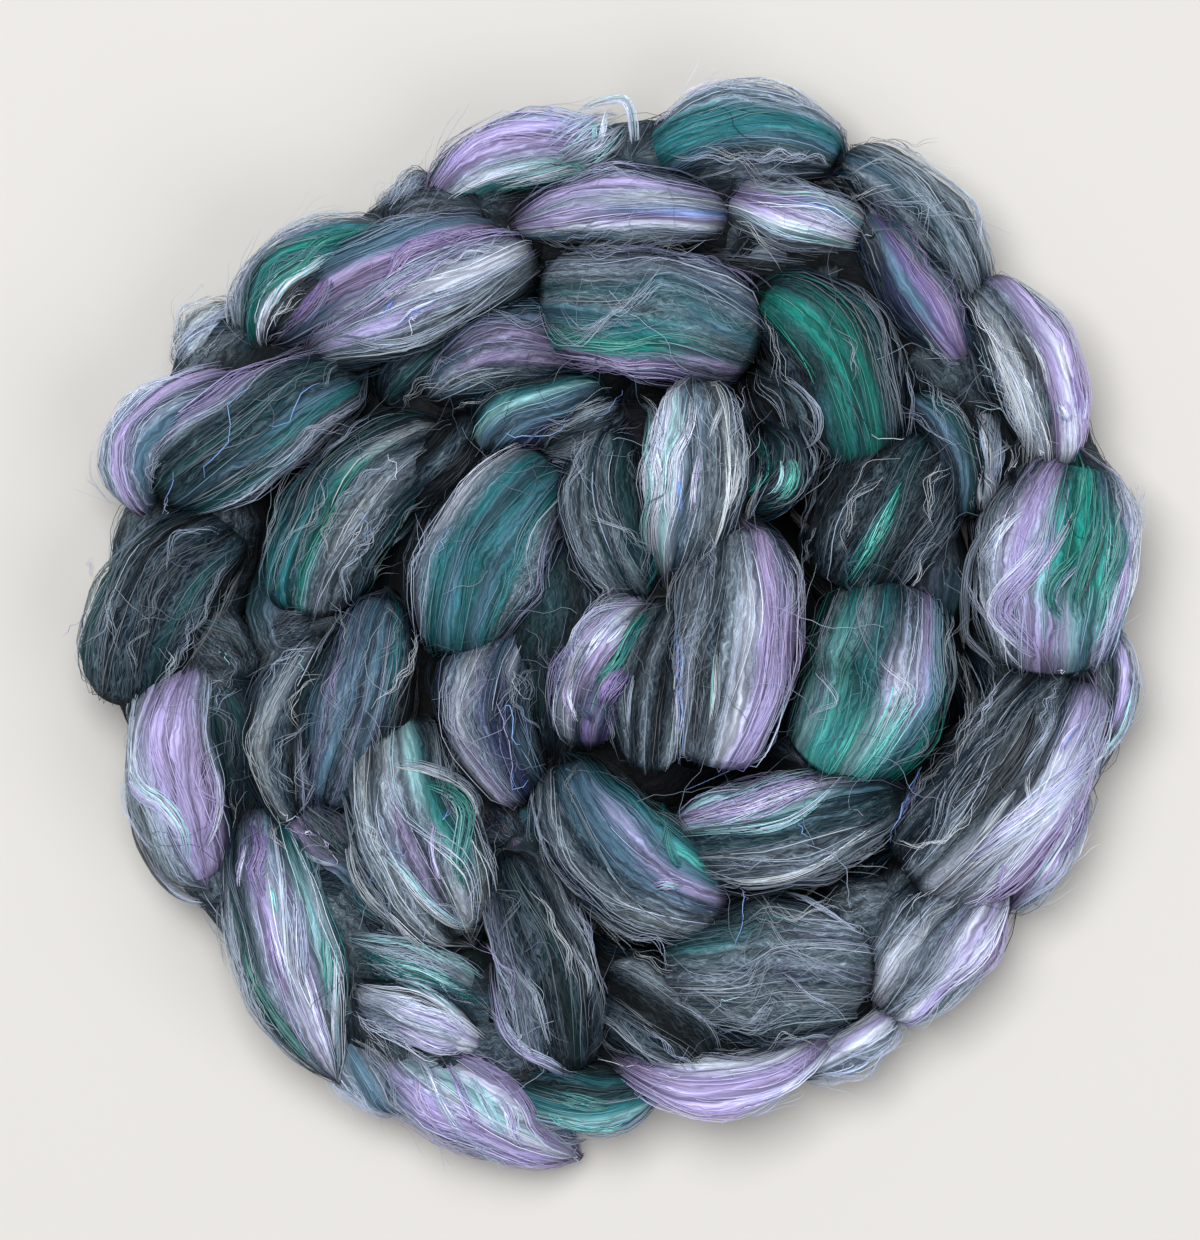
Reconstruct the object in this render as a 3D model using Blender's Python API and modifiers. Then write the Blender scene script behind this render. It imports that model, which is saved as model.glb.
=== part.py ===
"""A chain braid of dyed wool roving, wound flat into a coil, in metres with +Z up.

The origin is on the surface that the coil lies on, at the middle of the coil. The braid is one
length of combed roving, so it is one solid. Every fold of the chain is a swelling sweep along an
arched spine: the folds that show on top are placed one by one, and the folds of the underside
follow the turns of the coil. The sweeps are fused into one skin and cut level where they lie.
"""

import math
from collections import namedtuple

import bmesh
import bpy
from mathutils import Vector

MM = 0.001

# Driving dimensions of the roving and of the coil, in millimetres.
SECTION_FLATNESS = 0.86  # a fold's height over its width
BED_DEPTH = 1.8  # how much the coil's own weight flattens the folds on the surface

# The solid's fineness.
SPINE_STEPS = 14
SECTION_SIDES = 14
FUSE_SIZE = 2.0  # millimetres, the grain at which the folds are fused
KEPT_SHARE = 0.125  # of the fused skin's triangles

ROVING_COLOUR = (0.115, 0.155, 0.170, 1.0)
ROVING_ROUGHNESS = 0.68

# How a fold ends: its width there over its full width, how far it sinks below the crown of its
# arch in millimetres, and how late it turns down. A tucked end slips under its neighbour, and a
# blunt one stays full and turns down steeply.
End = namedtuple("End", "pinch dip turn")
TUCKED = End(0.42, 11.0, 2.0)
BLUNT = End(0.64, 13.0, 4.0)
POINTED = End(0.15, 12.0, 2.0)
TAIL_ROOT = End(0.60, 6.0, 2.0)
TAIL_TIP = End(0.12, 22.0, 2.0)
LOOP_FOOT = End(1.0, 5.0, 2.0)

# The folds that show on top, in millimetres: a spine from start to end through mid in plan, the
# width at the middle, the height of the crown, and the kinds of its first and last ends. They are
# listed turn by turn from the outside.
FOLD_COLUMNS = "name start mid end width top first last"
Fold = namedtuple("Fold", FOLD_COLUMNS, defaults=[TUCKED, TUCKED])
OUTER_TURN = [
    Fold("grey_nap", (-86, 51), (-81, 58), (-73, 63), 14, 24),
    Fold("green_rim", (-71, 55), (-66, 69), (-44, 79), 17, 34),
    Fold("lilac_sweep", (-69, 56), (-48, 71), (-22, 79), 17, 36),
    Fold("silver_sweep", (-63, 54), (-38, 64), (-17, 74), 19, 38, TUCKED, BLUNT),
    Fold("olive_nap", (-49, 78), (-43, 85), (-38, 91), 9, 20),
    Fold("lilac_crest", (-38, 83), (-20, 94), (4, 93), 18, 28),
    Fold("stray_loop", (-7, 89), (-1, 104), (5, 89), 4.6, 29, LOOP_FOOT, LOOP_FOOT),
    Fold("silver_crest", (-23, 79), (-1, 83), (22, 82), 16, 35, POINTED, BLUNT),
    Fold("teal_crest", (9, 92), (26, 98), (46, 93), 22, 31, BLUNT),
    Fold("lilac_bow", (21, 87), (35, 82), (51, 78), 15, 33),
    Fold("shaded_gap", (11, 74), (31, 73), (51, 71), 12, 26),
    Fold("crinkled_rim", (47, 94), (62, 82), (74, 61), 16, 30, BLUNT),
    Fold("violet_sweep", (50, 85), (60, 67), (72, 50), 16, 33, TUCKED, POINTED),
    Fold("cream_bow", (87, 30), (84, 49), (73, 67), 21, 34, TUCKED, BLUNT),
    Fold("silver_slip", (75, 21), (73, 33), (74, 45), 9, 28),
    Fold("emerald_drop", (87, -8), (88, 13), (92, 36), 33, 38, BLUNT),
    Fold("right_rim", (97, -24), (99, -11), (95, 2), 12, 26),
    Fold("frost_sweep", (60, -52), (79, -31), (93, -7), 31, 37, BLUNT),
    Fold("violet_rim", (77, -57), (86, -44), (93, -30), 13, 25),
    Fold("charcoal_bow", (52, -78), (63, -64), (75, -48), 25, 31),
    Fold("pale_slip", (36, -91), (48, -84), (57, -77), 11, 24),
    Fold("lilac_keel", (-4, -84), (20, -92), (45, -80), 14, 31, POINTED),
    Fold("teal_keel", (-27, -89), (-8, -95), (9, -91), 15, 27),
    Fold("teal_nap", (-54, -81), (-50, -88), (-43, -98), 15, 25),
    Fold("tail", (-49, -85), (-30, -95), (-7, -108), 22, 28, TAIL_ROOT, TAIL_TIP),
    Fold("silver_tuck", (-53, -73), (-40, -78), (-27, -84), 14, 33),
    Fold("teal_tuck", (-54, -64), (-39, -68), (-25, -76), 14, 30),
    Fold("pointed_leaf", (-56, -92), (-67, -63), (-72, -34), 23, 34, POINTED),
    Fold("dark_slip", (-76, -47), (-77, -23), (-83, -5), 13, 29),
    Fold("lilac_drop", (-82, -53), (-88, -29), (-85, -6), 22, 35),
    Fold("dark_drop", (-98, -14), (-92, 5), (-75, 22), 25, 34, BLUNT),
    Fold("lilac_shoulder", (-93, 24), (-94, 39), (-67, 52), 15, 31, BLUNT),
    Fold("teal_shoulder", (-90, 26), (-72, 40), (-50, 51), 23, 37, BLUNT),
]
MIDDLE_TURN = [
    Fold("teal_pillow", (-14, 64), (6, 62), (27, 56), 27, 42, BLUNT, BLUNT),
    Fold("green_arc", (27, 67), (43, 53), (48, 31), 26, 40, TUCKED, BLUNT),
    Fold("brown_nap", (27, 53), (35, 43), (37, 32), 16, 36),
    Fold("emerald_streak", (43, 5), (53, 23), (63, 39), 29, 39),
    Fold("slate_slip", (69, 21), (67, 36), (59, 46), 14, 35),
    Fold("mint_ball", (43, -28), (51, -11), (54, 5), 33, 41, BLUNT, BLUNT),
    Fold("ribbon_fold", (10, -43), (33, -41), (58, -33), 23, 40),
    Fold("slate_sweep", (-11, -25), (0, -45), (21, -56), 25, 40, TUCKED, BLUNT),
    Fold("grey_ball", (12, -70), (30, -69), (48, -70), 30, 37, BLUNT, BLUNT),
    Fold("charcoal_slip", (-3, -71), (8, -78), (19, -89), 20, 34),
    Fold("charcoal_leaf", (-10, -89), (-15, -66), (-23, -45), 21, 37, BLUNT),
    Fold("cream_fold", (-29, -64), (-40, -43), (-44, -18), 27, 40, TUCKED, BLUNT),
    Fold("striped_slip", (-63, -40), (-67, -22), (-58, -2), 17, 35),
    Fold("slate_fold", (-58, -38), (-51, -15), (-46, 7), 21, 38),
    Fold("crinkled_fold", (-62, 3), (-54, 23), (-33, 40), 24, 38, BLUNT),
    Fold("olive_slip", (-43, 24), (-35, 32), (-27, 42), 14, 35),
    Fold("dark_tuck", (-47, 44), (-38, 55), (-23, 64), 13, 33),
    Fold("mauve_fold", (-40, 46), (-23, 55), (-6, 54), 19, 37),
]
CENTRE = [
    Fold("blue_tuck", (-26, 34), (-19, 43), (-2, 47), 14, 37),
    Fold("brown_slip", (-18, 34), (-8, 38), (1, 44), 12, 35),
    Fold("teal_round", (-31, -4), (-26, 15), (-13, 30), 28, 41, BLUNT, BLUNT),
    Fold("striped_fold", (-18, -34), (-26, -16), (-20, 0), 22, 38, BLUNT),
    Fold("dark_wedge", (-12, -30), (-12, -12), (-18, 4), 14, 35),
    Fold("charcoal_wing", (7, 4), (-2, 21), (-1, 40), 20, 43),
    Fold("white_wing", (10, 6), (16, 28), (15, 50), 22, 47, POINTED),
    Fold("turquoise_curl", (24, 23), (34, 31), (29, 41), 10, 42),
    Fold("lilac_heart", (-6, -22), (-3, -9), (8, 5), 18, 45, BLUNT),
    Fold("charcoal_heart", (6, -27), (8, -11), (12, 6), 19, 47, BLUNT),
    Fold("lilac_crown", (18, -27), (23, -3), (24, 22), 27, 50, BLUNT),
]

# The folds in the heart of the coil, under its centre.
HEART = [
    Fold("left_heart", (-24, -26), (-11, 0), (-16, 28), 32, 35),
    Fold("right_heart", (26, 26), (12, 0), (18, -28), 32, 37),
]

# The underside: the coil winds in clockwise from under the tail, with a fold on each side of its
# middle line by turns. The table gives the line's distance from the centre after so many turns.
Wound = namedtuple("Wound", "turns radius")
WINDING = [
    Wound(0.0, 88.0),
    Wound(0.1, 86.0),
    Wound(0.27, 88.0),
    Wound(0.37, 81.0),
    Wound(0.48, 87.0),
    Wound(0.7, 87.0),
    Wound(0.9, 81.0),
    Wound(1.25, 58.0),
    Wound(1.75, 57.0),
    Wound(2.0, 46.0),
    Wound(2.25, 33.0),
    Wound(3.0, 27.0),
    Wound(3.4, 10.0),
]
COIL_START = math.radians(-110)
LINK_SPACING = 24.0
LINK_LENGTH = 44.0
LINK_LEAN = 6.0  # how far a fold's ends lie to each side of the middle line
LINK_WIDTH = 32.0
LINK_END = End(0.6, -3.0, 2.0)  # it goes up into the braid
CORE_END = End(0.8, 0.0, 2.0)


def clear_scene():
    for obj in list(bpy.data.objects):
        bpy.data.objects.remove(obj, do_unlink=True)


def new_collection(name):
    collection = bpy.data.collections.new(name)
    bpy.context.scene.collection.children.link(collection)
    return collection


def wound_radius(turns):
    """The middle line's distance from the centre, eased from one row of the winding to the next."""
    for before, after in zip(WINDING, WINDING[1:]):
        if turns <= after.turns:
            share = (turns - before.turns) / (after.turns - before.turns)
            eased = share * share * (3 - 2 * share)
            return before.radius + (after.radius - before.radius) * eased
    return WINDING[-1].radius


def round_coil(radius, angle):
    return (radius * math.cos(angle), radius * math.sin(angle))


def under_folds():
    """The folds of the underside, from the tail to the core."""
    top = LINK_WIDTH * SECTION_FLATNESS - BED_DEPTH
    folds = []
    wound = 0.0
    while wound < 2 * math.pi * WINDING[-1].turns:
        radius = wound_radius(wound / (2 * math.pi))
        angle = COIL_START - wound
        reach = min(LINK_LENGTH / radius, 1.3) / 2
        lean = LINK_LEAN if len(folds) % 2 else -LINK_LEAN
        start = round_coil(radius + lean, angle + reach)
        mid = round_coil(radius, angle)
        end = round_coil(radius - lean, angle - reach)
        name = f"under_link_{len(folds)}"
        folds.append(Fold(name, start, mid, end, LINK_WIDTH, top, LINK_END, LINK_END))
        wound += LINK_SPACING / radius
    core = Fold("core", (-16, -9), (0, 0), (16, 9), LINK_WIDTH, top, CORE_END, CORE_END)
    return folds + [core]


def end_kind(fold, along):
    return fold.first if along < 0.5 else fold.last


def swell(fold, along):
    """A fold's width at a place along it, from 0 to 1, over its full width."""
    kind = end_kind(fold, along)
    bulge = kind.pinch + (1 - kind.pinch) * math.sin(math.pi * along) ** 0.8
    round_end = math.sqrt(1 - min(abs(2 * along - 1), 0.999) ** 16)
    return bulge * round_end


def spine_point(fold, along):
    """A point of a fold's spine, in metres: a parabola in plan, and an arch from the side."""
    start, mid, end = (Vector(place) for place in (fold.start, fold.mid, fold.end))
    control = 2 * mid - (start + end) / 2
    plan = (1 - along) ** 2 * start + 2 * along * (1 - along) * control + along**2 * end
    kind = end_kind(fold, along)
    crown = fold.top - kind.dip * abs(2 * along - 1) ** kind.turn
    height = crown - swell(fold, along) * fold.width * SECTION_FLATNESS / 2
    return Vector((plan.x, plan.y, height)) * MM


def section_profile(collection):
    """The roving's section, one metre wide, which each fold scales to its own width."""
    curve = bpy.data.curves.new("roving_section", "CURVE")
    curve.dimensions = "2D"
    spline = curve.splines.new("POLY")
    spline.points.add(SECTION_SIDES - 1)
    spline.use_cyclic_u = True
    for number, point in enumerate(spline.points):
        turned = 2 * math.pi * number / SECTION_SIDES
        point.co = (0.5 * math.cos(turned), 0.5 * SECTION_FLATNESS * math.sin(turned), 0, 1)
    profile = bpy.data.objects.new("roving_section", curve)
    profile.hide_render = True
    profile.display_type = "WIRE"
    collection.objects.link(profile)
    return profile


def swept_folds(folds, profile, collection):
    """One curve object with a spline for each fold, whose radius swells and pinches."""
    curve = bpy.data.curves.new("fold_sweeps", "CURVE")
    curve.dimensions = "3D"
    curve.twist_mode = "Z_UP"
    curve.bevel_mode = "OBJECT"
    curve.bevel_object = profile
    curve.use_fill_caps = True
    for fold in folds:
        spline = curve.splines.new("POLY")
        spline.points.add(SPINE_STEPS)
        for number, point in enumerate(spline.points):
            along = number / SPINE_STEPS
            point.co = (*spine_point(fold, along), 1)
            point.radius = fold.width * MM * swell(fold, along)
    sweeps = bpy.data.objects.new("fold_sweeps", curve)
    collection.objects.link(sweeps)
    return sweeps


def as_mesh_object(curve_object, name, collection):
    """The curve's surface as a mesh object, in the curve's place. The curve is removed."""
    graph = bpy.context.evaluated_depsgraph_get()
    mesh = bpy.data.meshes.new_from_object(curve_object.evaluated_get(graph))
    mesh.name = name
    skin = bmesh.new()
    skin.from_mesh(mesh)
    bmesh.ops.remove_doubles(skin, verts=skin.verts, dist=1e-6)
    bmesh.ops.recalc_face_normals(skin, faces=skin.faces)
    skin.to_mesh(mesh)
    skin.free()
    obj = bpy.data.objects.new(name, mesh)
    obj.matrix_world = curve_object.matrix_world
    collection.objects.link(obj)
    bpy.data.objects.remove(curve_object, do_unlink=True)
    return obj


def level_cutter(collection):
    """A block whose top is the surface that the coil lies on."""
    bpy.ops.mesh.primitive_cube_add(size=1, location=(0, 0, -0.05))
    cutter = bpy.context.object
    cutter.name = "level_cutter"
    cutter.scale = (0.4, 0.4, 0.1)
    cutter.hide_render = True
    cutter.display_type = "WIRE"
    for holder in cutter.users_collection:
        holder.objects.unlink(cutter)
    collection.objects.link(cutter)
    return cutter


def roving_material():
    material = bpy.data.materials.new("dyed_wool_roving")
    material.use_nodes = True
    shader = material.node_tree.nodes["Principled BSDF"]
    shader.inputs["Base Color"].default_value = ROVING_COLOUR
    shader.inputs["Roughness"].default_value = ROVING_ROUGHNESS
    shader.inputs["Metallic"].default_value = 0.0
    return material


def build_braid(parts, helpers):
    folds = OUTER_TURN + MIDDLE_TURN + CENTRE + HEART + under_folds()
    sweeps = swept_folds(folds, section_profile(helpers), helpers)
    braid = as_mesh_object(sweeps, "roving_braid", parts)
    braid.data.materials.clear()
    braid.data.materials.append(roving_material())

    fuse = braid.modifiers.new("fuse_folds", "REMESH")
    fuse.mode = "VOXEL"
    fuse.voxel_size = FUSE_SIZE * MM
    thin = braid.modifiers.new("thin_skin", "DECIMATE")
    thin.decimate_type = "COLLAPSE"
    thin.ratio = KEPT_SHARE
    level = braid.modifiers.new("lie_flat", "BOOLEAN")
    level.operation = "DIFFERENCE"
    level.solver = "EXACT"
    level.object = level_cutter(helpers)
    return braid


def main():
    clear_scene()
    parts = new_collection("roving_braid_coil")
    helpers = new_collection("cutters_and_guides")
    build_braid(parts, helpers)


main()
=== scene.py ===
import math
from collections import namedtuple
from functools import partial

import bpy
import numpy as np
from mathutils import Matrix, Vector
from mathutils.bvhtree import BVHTree


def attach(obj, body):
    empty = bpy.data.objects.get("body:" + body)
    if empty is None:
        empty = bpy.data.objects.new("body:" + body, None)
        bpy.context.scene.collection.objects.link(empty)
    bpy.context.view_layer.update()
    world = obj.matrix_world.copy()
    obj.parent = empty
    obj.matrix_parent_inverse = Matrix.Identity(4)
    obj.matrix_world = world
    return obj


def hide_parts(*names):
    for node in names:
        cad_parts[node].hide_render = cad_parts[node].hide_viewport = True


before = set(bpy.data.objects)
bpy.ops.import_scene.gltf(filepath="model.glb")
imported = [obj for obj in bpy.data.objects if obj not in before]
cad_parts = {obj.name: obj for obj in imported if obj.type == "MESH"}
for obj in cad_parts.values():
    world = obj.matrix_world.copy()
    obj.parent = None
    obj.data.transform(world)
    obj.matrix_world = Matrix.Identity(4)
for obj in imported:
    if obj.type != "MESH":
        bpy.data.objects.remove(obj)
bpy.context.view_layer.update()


# --- The folds of the roving -------------------------------------------------------------------
# One length of combed top, a hand-dyed blend of wool and silk with the fibres lying lengthwise, is
# worked into a chain and wound flat. Each fold of the chain is a full, soft spindle that slips
# under its neighbours, and its dyes lie in streaks along it.

MM = 0.001

# Silk takes a dye clearly and lies close. Wool is crinkled, and the skin between its fibres is painted in
# deeper shade than silk's.
Dye = namedtuple("Dye", "letter colour fibre name")
DYES = [
    Dye("x", "#091620", "wool", "near black"),
    Dye("k", "#133046", "wool", "charcoal"),
    Dye("g", "#123F45", "silk", "bottle green"),
    Dye("t", "#22727B", "silk", "teal"),
    Dye("e", "#0F8E82", "silk", "emerald"),
    Dye("a", "#5FDDD4", "silk", "turquoise"),
    Dye("n", "#A6DFE4", "silk", "mint"),
    Dye("u", "#557A94", "silk", "slate blue"),
    Dye("z", "#7CA9F2", "silk", "azure"),
    Dye("i", "#39446F", "silk", "indigo"),
    Dye("p", "#8A78B8", "silk", "plum"),
    Dye("m", "#737A9E", "wool", "mauve grey"),
    Dye("v", "#A293BF", "silk", "mauve"),
    Dye("l", "#B4ABDC", "silk", "lilac"),
    Dye("w", "#E2EAFC", "silk", "blue white"),
    Dye("s", "#ACBBD6", "wool", "silver"),
    Dye("c", "#CED6DC", "wool", "cream"),
    Dye("b", "#919FAF", "wool", "beige grey"),
    Dye("y", "#4C6C78", "wool", "olive"),
]
DYE_OF = {dye.letter: dye for dye in DYES}

# How a fold ends: its width there over its full width, how far it sinks below the crown of its
# arch in millimetres, and how late it turns down. A tucked end slips under its neighbour, and a
# blunt one stays full and turns down steeply.
End = namedtuple("End", "pinch dip turn")
TUCKED = End(0.42, 11.0, 2.0)
BLUNT = End(0.64, 13.0, 4.0)
POINTED = End(0.15, 12.0, 2.0)
TAIL_ROOT = End(0.60, 6.0, 2.0)
TAIL_TIP = End(0.12, 22.0, 2.0)

# Each fold in millimetres: a spine from start to end through mid in plan, the width at the middle
# and the height of the crown. The dyes are its streaks from left to right, looking along it, in
# rows from start to end where the dyeing changes along the roving. In degrees, the twist turns
# them from start to end, and the sway bends them into an S. The tangle is how much more than
# elsewhere its wisps lie across it.
FOLD_COLUMNS = "name start mid end width top dyes twist sway first last tangle"
Fold = namedtuple("Fold", FOLD_COLUMNS, defaults=[0, 0, TUCKED, TUCKED, 1.0])
FAR_RIM = [
    Fold("grey_nap", (-86, 51), (-81, 58), (-73, 63), 14, 24, "cscbc"),
    Fold("green_rim", (-71, 55), (-66, 69), (-44, 79), 17, 34, "bggtegwxxkm/bteetwxkmm", twist=8),
    Fold("lilac_sweep", (-69, 56), (-48, 71), (-22, 79), 17, 36, "tkvvuul/uuvvlww/muvvsww"),
    Fold("silver_sweep", (-63, 54), (-38, 64), (-17, 74), 19, 38, "vllslsbk/lswwsbbkx", last=BLUNT),
    Fold("olive_nap", (-49, 78), (-43, 85), (-38, 91), 9, 20, "bsms"),
    Fold("lilac_crest", (-38, 83), (-20, 94), (4, 93), 18, 28, "mvlvlswtgk/sllvlsnwtk"),
    Fold(
        "silver_crest", (-23, 79), (-1, 83), (22, 82), 16, 35,
        "mvlsvlwsub/mlswszlwsb", 0, 6, POINTED, BLUNT
    ),
    Fold("teal_crest", (9, 92), (26, 98), (46, 93), 22, 31, "sttttukkbk/bstttugbksm", first=BLUNT),
    Fold("lilac_bow", (21, 87), (35, 82), (51, 78), 15, 33, "swllvlwsb/swnzwlwnsb"),
    Fold("shaded_gap", (11, 74), (31, 73), (51, 71), 12, 26, "sssbss"),
    Fold(
        "crinkled_rim", (47, 94), (62, 82), (74, 61), 16, 30,
        "bbkubkb/bkbykbm/bkbsbmi", first=BLUNT, tangle=2.5
    ),
    Fold("violet_sweep", (50, 85), (60, 67), (72, 50), 16, 33, "kukpumbk/kmvpuik/uivpvbk", last=POINTED),
    Fold(
        "cream_bow", (87, 30), (84, 49), (73, 67), 21, 34,
        "kxcwwcxlwwlv/kxcwcsxvlwlv/kkbcsbkmllvb", last=BLUNT
    ),
    Fold("silver_slip", (75, 21), (73, 33), (74, 45), 9, 31, "swswss"),
]
NEAR_RIM = [
    Fold(
        "emerald_drop", (87, -8), (88, 13), (92, 36), 33, 38,
        "bsmsvlvlvnuuslu/bswlvlnateeeeaelw/bkmvlvkgeeegukmb", first=BLUNT
    ),
    Fold("right_rim", (97, -24), (99, -11), (95, 2), 12, 26, "mvbklb"),
    Fold(
        "frost_sweep", (60, -52), (79, -31), (93, -7), 31, 37,
        "kbkkxsbxswxwsswlv/kbkkxbkxxsswwwwlv/kbxxkkbkxkmlllsls", first=BLUNT
    ),
    Fold("violet_rim", (77, -57), (86, -44), (93, -30), 13, 25, "wsvpvs"),
    Fold("charcoal_bow", (52, -78), (63, -64), (75, -48), 25, 31, "bsbwwsxbswlb/kxksskmwlwv"),
    Fold("pale_slip", (36, -91), (48, -84), (57, -77), 11, 24, "swlwss"),
    Fold("lilac_keel", (-4, -84), (20, -92), (45, -80), 14, 31, "kklvlvl/kwwlvllv/wswlvlws", first=POINTED),
    Fold("teal_keel", (-27, -89), (-8, -95), (9, -91), 15, 27, "kgtkggttnu"),
    Fold("teal_nap", (-54, -81), (-50, -88), (-43, -98), 15, 25, "ussus"),
    Fold(
        "tail", (-49, -85), (-30, -95), (-7, -108), 22, 28,
        "umlslnllub/lllwnnwlvllm/vllwlwwlllv", 45, 8, TAIL_ROOT, TAIL_TIP
    ),
    Fold("silver_tuck", (-53, -73), (-40, -78), (-27, -84), 14, 33, "tnxwswsbms/uxwwlwwwlw"),
    Fold("teal_tuck", (-54, -64), (-39, -68), (-25, -76), 14, 30, "snsbsws"),
    Fold(
        "pointed_leaf", (-56, -92), (-67, -63), (-72, -34), 23, 34,
        "bgkskmwlwsmsnwb/bggkslvlwsmlkntwt/kgkmimmsukgtg", first=POINTED
    ),
    Fold("dark_slip", (-76, -47), (-77, -23), (-83, -5), 13, 29, "xgkgk"),
    Fold(
        "lilac_drop", (-82, -53), (-88, -29), (-85, -6), 22, 35,
        "bsslllvlvvk/bwsllvllvvsg/bsllvlvllssg", -12, 8, tangle=2.5
    ),
    Fold("dark_drop", (-98, -14), (-92, 5), (-75, 22), 25, 34, "gkxkkxkgkx", 10, 6, BLUNT),
    Fold("lilac_shoulder", (-93, 24), (-94, 39), (-67, 52), 15, 31, "svlmmuusb/svvmsuusb", first=BLUNT),
    Fold(
        "teal_shoulder", (-90, 26), (-72, 40), (-50, 51), 23, 37,
        "lsgkggkgukgts/lgkggkguttss", 8, 6, BLUNT
    ),
]
MIDDLE_TURN = [
    Fold(
        "teal_pillow", (-14, 64), (6, 62), (27, 56), 27, 42,
        "bsbytbtutbeevm/msbuytybttteevl/msmusytuybtvmi", 0, 6, BLUNT, BLUNT, 2.0
    ),
    Fold(
        "green_arc", (27, 67), (43, 53), (48, 31), 26, 40,
        "kkggggeegekkkx/kgxegeeggxkkx/xkgeegtegtkxk", last=BLUNT
    ),
    Fold("brown_nap", (27, 53), (35, 43), (37, 32), 16, 36, "kkykxk"),
    Fold(
        "emerald_streak", (43, 5), (53, 23), (63, 39), 29, 39,
        "kxkkxkggkgxxkk/kxxkkkxkggkxxkkk/kgkxxkggkxkkxx"
    ),
    Fold("slate_slip", (69, 21), (67, 36), (59, 46), 14, 35, "xkugx"),
    Fold(
        "mint_ball", (43, -28), (51, -11), (54, 5), 33, 41,
        "tntataentatte/gebtnegttglwsvutg/kgbetbgtkgmkvuk", 0, 6, BLUNT, BLUNT, 2.5
    ),
    Fold(
        "ribbon_fold", (10, -43), (33, -41), (58, -33), 23, 40,
        "nlvlngkkgkbbkbk/llwlngukgkbksbk/kxkgukgkgkkbkb"
    ),
    Fold(
        "slate_sweep", (-11, -25), (0, -45), (21, -56), 25, 40,
        "gttuuuuugkbkb/gtuuluuukkbbk/ktauullumkbscbk", last=BLUNT
    ),
    Fold(
        "grey_ball", (12, -70), (30, -69), (48, -70), 30, 37,
        "kgytbymbbkbbyk/kbbmbybmkbbkyk", 0, 8, BLUNT, BLUNT, 3.5
    ),
    Fold("charcoal_slip", (-3, -71), (8, -78), (19, -89), 20, 34, "kbbkxxxxkkbk"),
    Fold(
        "charcoal_leaf", (-10, -89), (-15, -66), (-23, -45), 21, 37,
        "sbmkkxkxgkxkb/smkkxkkgxkxkb", first=BLUNT
    ),
    Fold(
        "cream_fold", (-29, -64), (-40, -43), (-44, -18), 27, 40,
        "kbcbkxkbcwskcbk/kbbbsmvkmsettgk/kbcckbcssntgkbk", 0, 8, last=BLUNT
    ),
    Fold("striped_slip", (-63, -40), (-67, -22), (-58, -2), 17, 35, "kcbkxmk/kbckkxkkk/kkbskxgkuk"),
    Fold("slate_fold", (-58, -38), (-51, -15), (-46, 7), 21, 38, "umukmumkx/kmumukuktkx", 6, 5),
    Fold(
        "crinkled_fold", (-62, 3), (-54, 23), (-33, 40), 24, 38,
        "tktgkeskbkbkk/kgtkekbkcbkkg/kgkbckkbskkgt", first=BLUNT
    ),
    Fold("olive_slip", (-43, 24), (-35, 32), (-27, 42), 14, 35, "xkxx"),
    Fold("dark_tuck", (-47, 44), (-38, 55), (-23, 64), 13, 33, "gkgk"),
    Fold("mauve_fold", (-40, 46), (-23, 55), (-6, 54), 19, 37, "ktguumbuk/kumvmvkbu/uvkvmvkuk", 0, -8),
]
CENTRE = [
    Fold("blue_tuck", (-26, 34), (-19, 43), (-2, 47), 14, 37, "kgtnuukuuik"),
    Fold("brown_slip", (-18, 34), (-8, 38), (1, 44), 12, 35, "kbkbm"),
    Fold(
        "teal_round", (-31, -4), (-26, 15), (-13, 30), 28, 41,
        "ksttuttguttbmk/kwsttuttuttbmk", 0, 6, BLUNT, BLUNT
    ),
    Fold(
        "striped_fold", (-18, -34), (-26, -16), (-20, 0), 22, 38,
        "kwlsmxiixukk/kmswbmixikkuk/kukbmkuswukbk", first=BLUNT
    ),
    Fold("dark_wedge", (-12, -30), (-12, -12), (-18, 4), 14, 35, "gkyk"),
    Fold("charcoal_wing", (7, 4), (-2, 21), (-1, 40), 20, 43, "kbkbgkbgkggkk"),
    Fold(
        "white_wing", (10, 6), (16, 28), (15, 50), 22, 47,
        "wwnwukbkbckb/wwnwuksbkbkcbk/wwnwukbubkcbk", first=POINTED
    ),
    Fold("turquoise_curl", (24, 23), (34, 31), (29, 41), 10, 42, "kgkkgk"),
    Fold(
        "lilac_heart", (-6, -22), (-3, -9), (8, 5), 18, 45,
        "sswikpvipk/lwslvketkvp/blwswsteegkx", first=BLUNT
    ),
    Fold("charcoal_heart", (6, -27), (8, -11), (12, 6), 19, 47, "kbbkxkbkxxkbbkx", first=BLUNT),
    Fold(
        "lilac_crown", (18, -27), (23, -3), (24, 22), 27, 50,
        "kzwsbkkbswwlllvs/kbsbkkbswslvllv/bbkbkkbsbsmvvvmk", first=BLUNT
    ),
]
HEART = [
    Fold("left_heart", (-24, -26), (-11, 0), (-16, 28), 32, 35, "xxgxxkx"),
    Fold("right_heart", (26, 26), (12, 0), (18, -28), 32, 37, "kutgkbk"),
]


# --- The underside of the coil -----------------------------------------------------------------
# The chain winds in clockwise from under the tail, with a fold on each side of its middle line by
# turns, and lies flat. Where the outer turn shows beside the folds on it, it is the greyer wool.

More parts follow.
